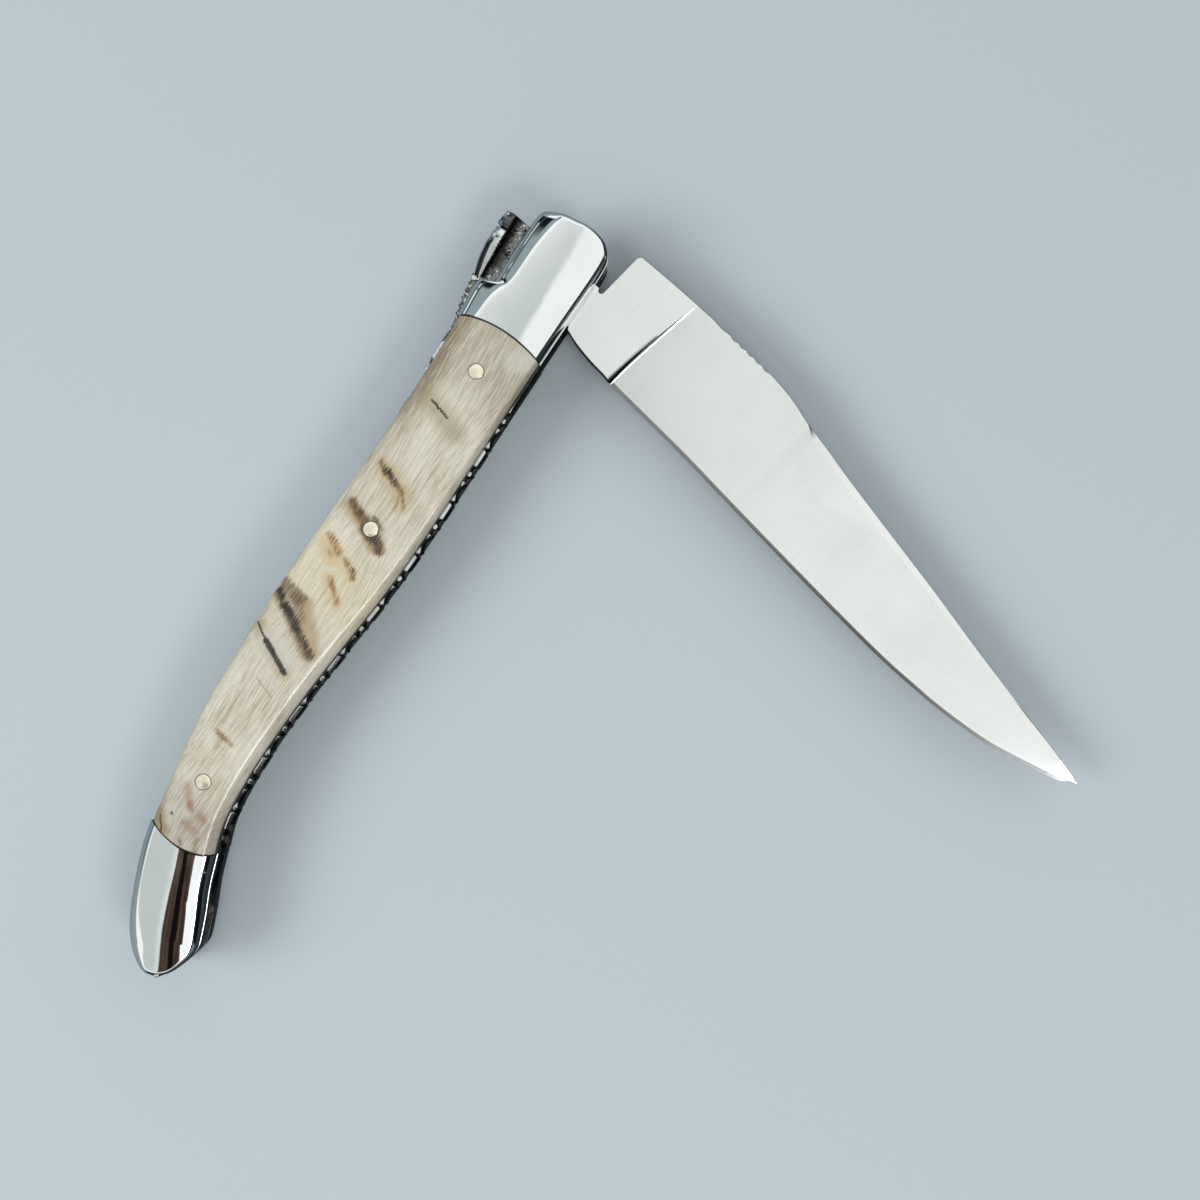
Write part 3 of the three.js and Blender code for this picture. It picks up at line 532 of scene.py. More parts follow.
def handleLoop():
    # The handle's closed outline: a smooth loop through the front's, the recess's step's, the back's and the
    # belly's shares, each times its own length and height.
    h = handle
    fall = h["bellyFall"] * bellyShares[-1][1]
    level, rear, step, depth = h["recessLevel"], h["recessRear"], h["recessStep"], h["recessDepth"]
    points = [(h["front"] * a, -fall + b * (level + fall)) for a, b in frontShares]
    points += [(-rear * 0.4, level)]
    points += [(-rear - step * a, level + depth * b) for a, b in stepShares]
    points += [(-h["rear"] * a, h["backRise"] * b) for a, b in backShares]
    points += [(-h["rear"] * a, -h["bellyFall"] * b) for a, b in bellyShares]
    return smoothLoop(points, 60)


loop = handleLoop()
noseAt = int(np.argmax(loop[:, 0]))
buttAt = int(np.argmin(loop[:, 0]))
backLine = loop[noseAt:buttAt + 1]  # from the nose along the back to the butt
bellyLine = np.concatenate([loop[buttAt:], loop[:noseAt + 1]])  # from the butt along the belly to the nose


def backAt(x):
    return np.interp(x, backLine[::-1, 0], backLine[::-1, 1])


def bellyAt(x):
    return np.interp(x, bellyLine[:, 0], bellyLine[:, 1])


def middleAt(x):
    return (backAt(x) + bellyAt(x)) / 2


def levelOf(side, height):
    # A height above a liner's outer face, on the right (1) or the left side (-1).
    return handle["midPlane"] + side * (handle["slot"] / 2 + handle["liner"] + height)


# Covers: bolsters and scales

# How far a scale's ends fall back at the belly's and at the back's corner, beside the middle of each joint
frontSag = {"belly": 0.95, "back": 1.45}
rearSag = {"belly": 1.5, "back": 1.0}


def jointBow(across, sag):
    # From straight lines between a joint's middle and its two corners out to the curve that it follows.
    away = np.abs(across)
    return np.where(across < 0, sag["belly"], sag["back"]) * (away - away ** 2)


coverRolls = {
    "belly": through([(-93.6, 1.45), (-89.7, 1.5), (-85.5, 1.7), (-75.8, 1.75), (-64.7, 1.8), (-59, 1.75),
                      (-53.6, 1.45), (-48, 1.4), (-38, 1.1), (-20, 0.85), (-10, 0.62), (9, 0.62)]),
    "back": through([(-94, 2.6), (-78, 2.2), (-50, 1.8), (-20, 1.8), (-11, 1.8), (9, 1.8)]),
    "crease": through([(-93.6, 1.6), (-60, 1.6), (-50, 1.65), (-42, 1.85), (-34, 2.0), (9, 2.0)]),
}
rollSteps = 16
landSteps = 10


def coverLines(low, high, centre, rollLow, rollHigh, power=2.0, steps=(rollSteps, landSteps)):
    # Lines run from the belly edge to the centre line and on to the back edge. Along each, the height
    # follows a quarter of a superellipse over the roll's width and then stays at one. A power of two is a
    # round roll, and one nearer one leaves a crease where the roll meets the land.
    inRolls, inLands = steps
    bend = np.linspace(0, np.pi / 2, inRolls + 1)
    count = len(low)
    halves = []
    lowPower = np.broadcast_to(power, (count,))[:, None]
    for edge, roll, turn in ((low, rollLow, lowPower), (high, rollHigh, np.full((count, 1), 2.0))):
        reach = np.linalg.norm(centre - edge, axis=1)
        share = np.minimum(roll / reach, 0.97)[:, None]
        inRoll = share * (1 - np.abs(np.cos(bend))[None, :] ** (2 / turn))
        inLand = share + (1 - share) * np.linspace(0, 1, inLands + 1)[None, 1:]
        place = np.concatenate([inRoll, inLand], 1)
        height = np.concatenate([np.sin(bend)[None, :] ** (2 / turn), np.ones((count, inLands))], 1)
        xy = edge[:, None, :] + (centre - edge)[:, None, :] * place[:, :, None]
        halves.append((xy, height, place))
    xy = np.concatenate([halves[0][0], halves[1][0][:, -2::-1]], 1)
    height = np.concatenate([halves[0][1], halves[1][1][:, -2::-1]], 1)
    across = np.concatenate([halves[0][2] - 1, 1 - halves[1][2][:, -2::-1]], 1)
    return xy, height, across


def coverPlate(name, xy, height, crown, bow, side, **ends):
    # The plate over those lines: its height above the liner, less a crown, and its shift along the handle.
    h = handle
    land = h["cover"] - h["buttTaper"] * smoothstep(-xy[..., 0], -h["rearJoint"], h["rear"])
    z = h["wall"] + (land - h["wall"]) * height
    z = z - crown * z / h["cover"]
    x, y = xy[..., 0] + bow, xy[..., 1]
    top = np.stack([x, y, levelOf(side, z)], -1)
    bottom = np.stack([x, y, np.full(x.shape, levelOf(side, 0.0))], -1)
    return slab(name, top, bottom, sharp=40, **ends)


# Edge of the front bolster's land toward the back, along the handle
landEdge = through([(-11.5, 7.1), (-8, 6.7), (-6, 6.0), (-4, 5.65), (-2, 5.55), (1, 5.5), (3, 5.3), (9, 4.4)])


def insetFrom(line, amount):
    # An open line moved sideways to the handle's inside by an amount for each of its points.
    along = np.gradient(line, axis=0)
    along = along / np.linalg.norm(along, axis=1)[:, None]
    normal = np.stack([-along[:, 1], along[:, 0]], 1)
    inward = np.sign(normal[0, 1])
    return line + normal * inward * amount[:, None]


def bolsterEdges(corner, way, columns):
    # Belly and back edge of a bolster from its joint's corners on, at even shares of their lengths. The way
    # is 1 for the front bolster and -1 for the rear one.
    shares = np.linspace(0, 1, columns)
    runs = ((bellyLine[::way], bellyAt, corner["belly"]), (backLine[::-way], backAt, corner["back"]))
    edges = []
    for line, levelAt, x in runs:
        part = np.concatenate([[[x, levelAt(x)]], line[way * line[:, 0] > way * x]])
        edges.append(alongArc(part, shares))
    return shares, *edges


def centreRun(low, high, joint, end, soft, way):
    # Places of a bolster's centre line: halfway between its edges, from the joint on, and easing to a stop
    # at the end by the logarithm of one plus an exponential.
    x = (low[:, 0] + high[:, 0]) / 2
    run = end - way * soft * np.log1p(np.exp(way * (end - x) / soft))
    return run - (run[0] - joint)


def frontBolster(side, name):
    # Lines across the bolster with a round roll at each edge. The crown lowers the land by the square of the
    # distance from a line along its middle, and the joint's bow fades out over the flare.
    sizes = {"crown": 0.2, "crownReach": 6.5, "crownJoint": 2.5, "crownNose": 2.2, "columns": 190,
             "centreEnd": 4.0, "soften": 1.3, "flare": 5.0, "centreJoint": 2.9, "centreNose": 2.2,
             "noseRoll": 0.75, "leastRoll": 1.2, "insetEnd": 0.75, "lowNose": (0.72, 0.98),
             "highNose": (0.80, 1.0)}
    joint = handle["frontJoint"]
    corner = {key: joint - sag for key, sag in frontSag.items()}
    g, low, high = bolsterEdges(corner, 1, sizes["columns"])
    low = insetFrom(low, handle["bolsterInset"] * (1 - smoothstep(g, sizes["insetEnd"], 1)))
    centreX = centreRun(low, high, joint, sizes["centreEnd"], sizes["soften"], 1)
    centreY = np.interp(centreX, [joint, sizes["centreEnd"]], [sizes["centreJoint"], sizes["centreNose"]])
    rollLow = coverRolls["belly"](low[:, 0])
    rollLow = rollLow + (sizes["noseRoll"] - rollLow) * smoothstep(g, *sizes["lowNose"])
    rollHigh = np.maximum(high[:, 1] - landEdge(high[:, 0]), sizes["leastRoll"])
    rollHigh = rollHigh + (sizes["noseRoll"] - rollHigh) * smoothstep(g, *sizes["highNose"])
    xy, height, across = coverLines(low, high, np.stack([centreX, centreY], 1), rollLow, rollHigh)
    crownAt = np.interp(xy[..., 0], [joint, handle["front"]], [sizes["crownJoint"], sizes["crownNose"]])
    away = (xy[..., 1] - crownAt) / sizes["crownReach"]
    fade = np.clip(1 - (xy[:, :1, 0] - corner["belly"]) / sizes["flare"], 0, 1)
    return coverPlate(name, xy, height, sizes["crown"] * away ** 2, jointBow(across, frontSag) * fade, side,
                      capStart=True)


# The rear bolster is a barrel along a crest that runs into the butt, and a rim rolls it down to the outline.
# The rim's width grows round the back of the butt.
rearCrest = through([(-112, -6.7), (-109.5, -5.2), (-106.1, -3.2), (-103.2, -1.75), (-98.3, -0.1), (-94, 1.2),
                     (-92, 1.8)])
rearRims = {
    "back": through([(-111.25, 0.9), (-110.8, 1.4), (-109.75, 2.1), (-107.9, 2.0), (-105, 1.4), (-100, 1.1),
                     (-92, 1.0)]),
    "belly": through([(-111.25, 0.9), (-110.5, 0.7), (-108.4, 0.6), (-105, 0.8), (-100, 1.0), (-92, 1.1)]),
}


def nearestOn(line, points):
    # Distance from each point to an open line, and the place on the line that is nearest.
    start, step = line[:-1], np.diff(line, axis=0)
    share = ((points[:, None] - start) * step).sum(-1) / (step ** 2).sum(-1)
    foot = start + np.clip(share, 0, 1)[..., None] * step
    away = np.linalg.norm(points[:, None] - foot, axis=-1)
    best = away.argmin(1)
    rows = np.arange(len(points))
    return away[rows, best], foot[rows, best]


def rearBolster(side, name):
    sizes = {"columns": 230, "steps": (46, 3), "centreEnd": -109.6, "soften": 0.5, "flare": 6.0,
             "backReach": 4.9, "bellyReach": 5.6, "spread": 1.05, "least": 0.05,
             "insetFade": (0.6, 0.9), "allRoll": 30.0}
    joint = handle["rearJoint"]
    corner = {key: joint + sag for key, sag in rearSag.items()}
    g, low, high = bolsterEdges(corner, -1, sizes["columns"])
    low = insetFrom(low, handle["bolsterInset"] * (1 - smoothstep(g, *sizes["insetFade"])))
    centreX = centreRun(low, high, joint, sizes["centreEnd"], sizes["soften"], -1)
    roll = np.full(len(g), sizes["allRoll"])
    xy, _, across = coverLines(low, high, np.stack([centreX, rearCrest(centreX)], 1), roll, roll,
                               steps=sizes["steps"])
    x, y = xy[..., 0], xy[..., 1]
    crest = rearCrest(x)
    backReach = np.maximum(backAt(x) - crest, sizes["backReach"])
    bellyReach = np.maximum(crest - bellyAt(x), sizes["bellyReach"])
    share = (y - crest) / np.where(y > crest, backReach, bellyReach) / sizes["spread"]
    barrel = np.sqrt(np.clip(1 - share ** 2, sizes["least"], 1))
    away, foot = nearestOn(np.concatenate([high, low[-2::-1]]), xy.reshape(-1, 2))
    isBack = foot[:, 1] > high[-1, 1]
    rim = np.where(isBack, rearRims["back"](foot[:, 0]), rearRims["belly"](foot[:, 0]))
    rolled = np.sqrt(1 - (1 - np.clip(away / rim, 0, 1)) ** 2).reshape(x.shape)
    rolled[:, [0, -1]] = 0
    fade = np.clip(1 - (corner["belly"] - xy[:, :1, 0]) / sizes["flare"], 0, 1)
    return coverPlate(name, xy, barrel * rolled, 0.0, -jointBow(across, rearSag) * fade, side, capStart=True)


def hornCover(side, name):
    # Lines across the scale from belly to back, with a creased roll at the belly and a round one at the back,
    # and a crown that lowers the land by the square of the share from its middle. Both joints are bowed.
    sizes = {"crown": 0.16, "columns": 260, "flare": 6.0, "joint": (0.17, 0.25), "bellyInset": -0.05,
             "foot": (0.2, 0.36), "footShade": 0.85, "wall": -0.75, "nearJoint": (0, 0.05, 0.1, 0.16, 0.24)}
    h = handle
    front = h["frontJoint"] - h["jointGap"]
    rear = h["rearJoint"] + h["jointGap"]
    length = front - rear
    close = np.array(sizes["nearJoint"]) / length
    share = np.unique(np.concatenate([np.linspace(0, 1, sizes["columns"]), close, 1 - close]))
    lines = {key: rear + rearSag[key] + (length - frontSag[key] - rearSag[key]) * share for key in rearSag}
    low = np.stack([lines["belly"], bellyAt(lines["belly"]) + sizes["bellyInset"]], 1)
    high = np.stack([lines["back"], backAt(lines["back"]) - h["scaleInset"]], 1)
    centre = np.stack([rear + length * share, (low[:, 1] + high[:, 1]) / 2], 1)
    xy, height, across = coverLines(low, high, centre, coverRolls["belly"](lines["belly"]),
                                    coverRolls["back"](lines["back"]), coverRolls["crease"](lines["belly"]))
    nearFront = np.clip(1 - (front - centre[:, :1]) / sizes["flare"], 0, 1)
    nearRear = np.clip(1 - (centre[:, :1] - rear) / sizes["flare"], 0, 1)
    bow = jointBow(across, frontSag) * nearFront - jointBow(across, rearSag) * nearRear
    nearest = np.minimum(share, 1 - share) * length
    # The joint lines are dark. The belly edge's foot and the inner face behind the filed notches get painted
    # shade through the same attribute.
    joint = 1 - smoothstep(nearest, *sizes["joint"])[:, None]
    paintedFootShade = sizes["footShade"] * (1 - smoothstep(height, *sizes["foot"])) * (across < 0)
    joint = np.maximum(joint, paintedFootShade)
    inner = np.where(across < sizes["wall"], 1.0, joint)
    return coverPlate(name, xy, height, sizes["crown"] * across ** 2, bow, side, capStart=True, capEnd=True,
                      attributes={"joint": np.concatenate([joint, inner])})


rivets = {"radius": 1.03, "dome": 0.1, "inset": 0.05, "sink": 0.005, "tip": 0.02,
          "places": (("front", 0.0815), ("middle", 0.3914), ("rear", 0.887))}
rivetSpots = {}
for placeName, share in rivets["places"]:
    x = handle["frontJoint"] + (handle["rearJoint"] - handle["frontJoint"]) * share
    rivetSpots[placeName] = (x, float(middleAt(x)))
polished = polishedSteel()
horn = hornScale(rivetSpots.values())


def finished(piece, material, body, slotName, *replaced):
    piece.data.materials.append(material)
    if body:
        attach(piece, body)
    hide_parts(*replaced)
    return piece


sides = (("right", 1), ("left", -1))
for sideName, side in sides:
    label = sideName.capitalize()
    finished(frontBolster(side, "frontBolster" + label), polished, "handle", "polished_steel",
             "front_bolster_" + sideName)
    finished(rearBolster(side, "rearBolster" + label), polished, "handle", "polished_steel",
             "rear_bolster_" + sideName)
    finished(hornCover(side, "hornScale" + label), horn, "handle", "horn", "scale_" + sideName)
print("bolsters and scales")


# Liners with filework along the belly

filework = {
    "groups": 9, "first": -20.7, "pitch": 8.73, "notch": 0.55, "notchDepth": 0.55, "spacing": 1.65,
    "scallop": 2.7, "scallopDepth": 0.4, "groove": 0.3, "grooveDepth": 0.36, "rim": 0.36, "rimDrop": 0.055,
    "proud": 0.36, "proudRear": (-92.0, -87.0), "proudFront": (-22.0, -17.5), "proudEnd": 0.15,
    "proudNose": (-2.0, 4.0), "rear": -93.0, "front": -18.0, "step": 0.045, "endSteps": 90,
}


def fileDepth(x):
    # Depth of the filed notches in the belly edge: half circles in pairs, then a long shallow arc and a
    # small groove, again and again.
    f = filework
    depth = np.zeros_like(x)
    for i in range(f["groups"]):
        centre = f["first"] - i * f["pitch"]
        for offset in (-0.5, 0.5):
            away = np.abs(x - centre - offset * f["spacing"]) / f["notch"]
            depth = np.maximum(depth, f["notchDepth"] * np.sqrt(np.clip(1 - away ** 2, 0, 1)))
        if i < f["groups"] - 1:
            middle = centre - f["spacing"] / 2 - f["notch"] - f["scallop"] / 2
            away = np.abs(x - middle) / (f["scallop"] / 2)
            depth = np.maximum(depth, f["scallopDepth"] * np.clip(1 - away ** 2, 0, 1))
            away = np.abs(x - middle + f["scallop"] / 2 + 2 * f["groove"]) / f["groove"]
            depth = np.maximum(depth, f["grooveDepth"] * np.sqrt(np.clip(1 - away ** 2, 0, 1)))
    return depth


def liner(side, name):
    # A flat plate between the belly edge, less the filed depth, and the back edge, with a small bevel on its
    # outer face. Columns are dense along the filework and crowd toward both ends of the handle.
    h = handle
    f = filework
    fine = np.arange(f["rear"], f["front"], f["step"])
    ends = 1 - np.cos(np.linspace(0, np.pi / 2, f["endSteps"]))
    buttPart = -h["rear"] + (h["rear"] + f["rear"]) * ends
    nosePart = h["front"] - (h["front"] - f["front"]) * ends[::-1]
    x = np.concatenate([buttPart[:-1], fine, nosePart])
    x = np.clip(x, bellyLine[0, 0], bellyLine[-1, 0])
    proud = between(x, f["proudRear"], f["proudNose"])
    proud = proud * (1 + (f["proudEnd"] - 1) * smoothstep(x, *f["proudFront"]))
    low = np.stack([x, bellyAt(x) - f["proud"] * proud + fileDepth(x)], 1)
    high = np.stack([x, backAt(x)], 1)
    tip = (x <= bellyLine[0, 0] + 1e-6) | (x >= bellyLine[-1, 0] - 1e-6)
    high[tip] = low[tip]
    width = np.maximum(high[:, 1] - low[:, 1], 1e-6)
    rim = np.minimum(f["rim"] / width, 0.3)
    cuts = np.stack([np.zeros_like(x), rim, np.full_like(x, 0.5), 1 - rim, np.ones_like(x)], 1)
    y = low[:, 1:2] + width[:, None] * cuts
    inner = h["midPlane"] + side * h["slot"] / 2
    outer = inner + side * h["liner"]
    drop = np.array([1, 0, 0, 0, 1])[None, :] * side * f["rimDrop"]
    grid = np.stack([np.repeat(x[:, None], cuts.shape[1], 1), y, y], -1)
    top, bottom = grid.copy(), grid.copy()
    top[..., 2] = outer - drop
    bottom[..., 2] = inner
    return slab(name, top, bottom, sharp=28)


linerFinish = linerSteel()
for sideName, side in sides:
    finished(liner(side, "liner" + sideName.capitalize()), linerFinish, "handle", "liner_steel",
             "liner_" + sideName)
print("liners")


# Blade, drawn open along +X with its spine toward +Y, then turned to the pose of the photograph

blade = {
    "length": 100.0, "thickness": 2.8, "tipThickness": 0.6, "edgeThickness": 0.2, "bevel": 0.5,
    "spineRise": 11.15, "edgeFall": 6.5, "shoulder": 4.55, "shoulderRadius": 0.6, "seat": 3.0, "relief": 0.45,
    "bellyStep": 0.85, "ricasso": 8.85, "plungeLean": 1.7, "plungeLength": 0.8, "swedge": 0.95,
    "restAngle": 100.93, "camRadius": 5.091, "point": 0.27, "scallops": 5, "scallopStart": 21.5,
    "scallopPitch": 1.6, "scallopDepth": 0.17, "hollow": (18.9, 1.5, 0.11), "filed": (15.8, 29.2, 0.06),
    "falseEdge": ((0.375, 0.4), (0.55, 0.93)), "falseEdgeThin": 0.45, "grinding": 0.5, "edgeHalf": 0.02,
    "leanFall": 8.0, "leanPower": 1.5, "plungeDeep": 1.25, "plungeLeast": 0.6, "wedge": 0.52,
    "wedgeTop": 0.62, "wedgeSoft": (0.06, 0.02), "wedgeLeast": 0.03, "bevelShade": 0.6, "easing": 0.07,
    "rows": 36,
}
spineCurve = through([
    (0.03, 0.906), (0.116, 0.968), (0.2, 0.994), (0.285, 1), (0.335, 0.964), (0.375, 0.888), (0.42, 0.826),
    (0.474, 0.743), (0.574, 0.611), (0.673, 0.481), (0.772, 0.334), (0.871, 0.206), (0.95, 0.109),
    (0.98, 0.062), (1, 0.022)])
edgeCurve = through([
    (0.046, 0.662), (0.067, 0.738), (0.097, 0.792), (0.126, 0.806), (0.141, 0.837), (0.176, 0.846),
    (0.275, 0.854), (0.375, 0.903), (0.474, 0.946), (0.574, 0.983), (0.653, 1), (0.7, 0.991), (0.74, 0.958),
    (0.772, 0.931), (0.822, 0.843), (0.871, 0.715), (0.92, 0.5), (0.96, 0.302), (0.98, 0.185), (1, -0.03)])


def spineAt(x):
    # The spine's and the edge's distance from the middle line, as a curve over shares of the length.
    return blade["spineRise"] * spineCurve(x / blade["length"])


def edgeAt(x):
    return -blade["edgeFall"] * edgeCurve(x / blade["length"])


def bladeOutline(x):
    # Lower edge, upper edge and depth of the filed scallops along the spine, at places along the blade.
    b = blade
    cam = np.sqrt(np.clip(b["camRadius"] ** 2 - x ** 2, 0, None))
    tangHalf = np.where(x < 0, np.minimum(cam, b["seat"]), b["seat"])
    away = np.abs(x - b["shoulder"] + b["relief"])
    relief = np.sqrt(np.clip(b["relief"] ** 2 - away ** 2, 0, None))
    corner = np.clip(b["shoulder"] + b["shoulderRadius"] - x, 0, b["shoulderRadius"])
    rounding = b["shoulderRadius"] - np.sqrt(np.clip(b["shoulderRadius"] ** 2 - corner ** 2, 0, None))
    centre, reach, depth = b["hollow"]
    scallop = depth * np.clip(1 - ((x - centre) / reach) ** 2, 0, 1)
    for i in range(b["scallops"]):
        share = np.abs(x - b["scallopStart"] - i * b["scallopPitch"]) / (0.5 * b["scallopPitch"])
        scallop = np.maximum(scallop, b["scallopDepth"] * np.clip(1 - share ** 2, 0, 1))
    high = np.where(x < b["shoulder"], tangHalf - relief, spineAt(x) - rounding)
    slope = np.clip((x - b["shoulder"] + b["bellyStep"]) / b["bellyStep"], 0, 1)
    under = edgeAt(np.maximum(x, b["shoulder"]))
    low = np.where(x < b["shoulder"], -tangHalf + slope * (under + b["seat"]), under)
    return low, high, scallop


def bladePlaces(first):
    # Places along the blade, dense where its shape turns: the cam, the relief notch, the shoulder, the
    # plunge, the filed spine and the point.
    b = blade
    shoulder = b["shoulder"]
    quarter = np.linspace(0, np.pi / 2, 40)
    x = np.unique(np.round(np.concatenate([
        -b["camRadius"] * np.cos(quarter), np.linspace(0, 3.7, 12), np.linspace(3.7, shoulder, 8),
        shoulder - b["relief"] + b["relief"] * np.cos(np.linspace(np.pi, 0.0, 24)), [shoulder - 1e-3],
        shoulder + b["shoulderRadius"] * (1 - np.cos(np.linspace(0, np.pi / 2, 14))) + 1e-3,
        np.linspace(5.2, first, 24), first + 0.35 * np.linspace(0, 1, 26) ** 1.6,
        np.linspace(first + 0.37, first + 1.9, 46), np.arange(*b["filed"]),
        first + (b["length"] - first) * np.sin(np.linspace(0, np.pi / 2, 360))]), 5))
    return x[(x >= -b["camRadius"]) & (x <= b["length"])]


def bladePiece():
    # Half thickness falls in a straight line from the spine to the edge bevel. The plunge is a quarter
    # circle that starts steeply at the ricasso and runs out level into the ground face. Rows follow the
    # bevel, the ground face and the false edge; the scallops move only the rows nearest the spine.
    b = blade
    first = b["shoulder"] + b["ricasso"]
    x = bladePlaces(first)
    low, high, scallop = bladeOutline(x)
    height = np.maximum(high - low, 0)
    full = b["thickness"] / 2
    onBlade = x >= b["shoulder"]
    share = np.clip((x - first) / (b["length"] - first), 0, 1)
    taper = np.where(onBlade, np.minimum(1, height / b["spineRise"] / b["point"]), 1)
    spineHalf = (full + (b["tipThickness"] / 2 - full) * share) * taper
    falseShare = np.where(onBlade, between(x / b["length"], *b["falseEdge"]), 0)
    grinding = smoothstep(x, first, first + b["grinding"])
    bevel = np.minimum(b["easing"] + (b["bevel"] - b["easing"]) * grinding, height / 3)
    falseEdge = np.minimum(b["swedge"] * falseShare + b["easing"], height / 3)
    middle = np.linspace(0.02, 0.965, b["rows"] - 5)
    ground = np.concatenate([[0, 0.003], middle, [0.98, 0.992, 1.0]])[None, :]
    yBevel, yFalse = low + bevel, high - falseEdge
    yFace = yBevel[:, None] + (yFalse - yBevel)[:, None] * ground
    bevelHalf = (b["edgeThickness"] / 2) * taper
    faceHalf = bevelHalf[:, None] + (spineHalf - bevelHalf)[:, None] * ground
    topHalf = spineHalf * (1 - b["falseEdgeThin"] * falseShare) - b["easing"] * (1 - falseShare) * taper
    y = np.concatenate([low[:, None], yFace, high[:, None]], 1)
    groundHalf = np.concatenate([np.full((len(x), 1), b["edgeHalf"]), faceHalf, topHalf[:, None]], 1)
    flatHalf = np.full_like(groundHalf, full)
    flatHalf[:, [0, -1]] = full - b["easing"]
    near = np.zeros(y.shape[1])
    near[-3:] = [0.5, 1.0, 1.0]
    y = y - scallop[:, None] * near[None, :]
    lean = b["plungeLean"] * np.exp(-np.maximum(x - first - b["plungeLength"], 0) / b["leanFall"])
    lean = lean * np.clip((x - b["shoulder"]) / b["ricasso"], 0, 1)
    across = np.clip((y - low[:, None]) / np.maximum(height, 1)[:, None], 0, 1)
    px = x[:, None] + lean[:, None] * across ** b["leanPower"]
    into = x[:, None] - first
    deep = np.clip(np.maximum(flatHalf - groundHalf, 0) / b["plungeDeep"], 0, 1)
    reach = b["plungeLength"] * (b["plungeLeast"] + (1 - b["plungeLeast"]) * deep)
    dig = np.sqrt(1 - (1 - np.clip(into / reach, 0, 1)) ** 2)
    half = np.where(into < 0, flatHalf, flatHalf + (groundHalf - flatHalf) * dig)
    angle = -math.radians(b["restAngle"])
    gx = px * math.cos(angle) - y * math.sin(angle)
    gy = px * math.sin(angle) + y * math.cos(angle)
    top, bottom = [np.stack([gx, gy, handle["midPlane"] + way * half], -1) for way in (1, -1)]
    # The foot of the plunge and the edge bevel are darkened: painted shade at the foot of the plunge, where
    # no light reaches, and a painted darker reflection on the edge bevel.
    wedge = b["wedge"] * (1 - across / b["wedgeTop"])
    before, after = b["wedgeSoft"]
    shade = smoothstep(into, -0.03, 0.02) * (1 - smoothstep(into, wedge - before, wedge + after))
    shade = shade * (wedge > b["wedgeLeast"])
    shade[:, :2] = np.maximum(shade[:, :2], b["bevelShade"] * grinding[:, None])
    return slab("blade", top, bottom, sharp=14, attributes={"shade": np.concatenate([shade, shade])})


finished(bladePiece(), groundSteel(math.radians(blade["restAngle"])), "blade", "blade_steel", "blade")
print("blade")


# Back spring, drawn seated and then lifted as it is in the photograph

spring = {
    "hinge": (-45.0, 8.2673), "lift": math.asin(2.1 / 45.0), "flexEnd": -5.1, "room": 0.5, "seatGap": 0.05,
    "noseReach": 4.4, "noseLevel": 3.05, "noseTop": 8.8, "ornamentRear": -5.567, "tipRoom": 0.9,
    "flank": 0.95, "width": 2.9, "pocket": 4.0, "ease": 0.09, "slant": (1.5, 0.9), "step": 0.07,
    "block": (-6.0, -5.4), "worn": ((-14.2, -13.4), (-6.4, -5.8)), "sideWear": (0.3, 0.8),
    "blockShade": (0.62, 0.92), "carvedSide": (0.86, 1.0),
}
carvings = {
    "knurl": ((-12.2, -11.6), (-6.5, -6.0)), "knurlPitch": 1.15, "knurlSlant": 0.75, "knurlDepth": 0.55,
    "step": ((-14.2, -13.6), (-12.0, -11.5)), "stepDepth": 0.3, "leaves": ((-19.6, -13.8), (-28.4, -24.4)),
    "leafWidth": 1.1, "leafDepth": 0.45, "ribWidth": 0.18, "ribDepth": 0.14, "veinPitch": 1.1,
    "veinSlant": 0.9, "veinDepth": 0.07, "hollow": ((-24.6, -23.8), (-20.8, -20.4)), "hollowDepth": 0.4,
    "nicks": (-19.8, -21.2, -29.0, -30.4, -31.6, -32.8), "nickWidth": 0.22, "nickDepth": 0.38,
}
springDip = through([(-45, 0), (-29.25, 0), (-18.9, 0.2), (-13.5, 0.55), (-9, 0.35), (-5.567, 0.1)])


def lifted(x, y):
    # A turn about the spring's pin that grows smoothly from none at the pin to all of it at the nose.
    s = spring
    angle = s["lift"] * smoothstep(x, s["hinge"][0], s["flexEnd"])
    dx, dy = x - s["hinge"][0], y - s["hinge"][1]
    return (s["hinge"][0] + dx * np.cos(angle) - dy * np.sin(angle),
            s["hinge"][1] + dx * np.sin(angle) + dy * np.cos(angle))


def springUnder(x):
    # The spring's underside follows the closed blade's edge, with room between the two.
    return spring["room"] - edgeAt(np.minimum(-x, blade["length"]))


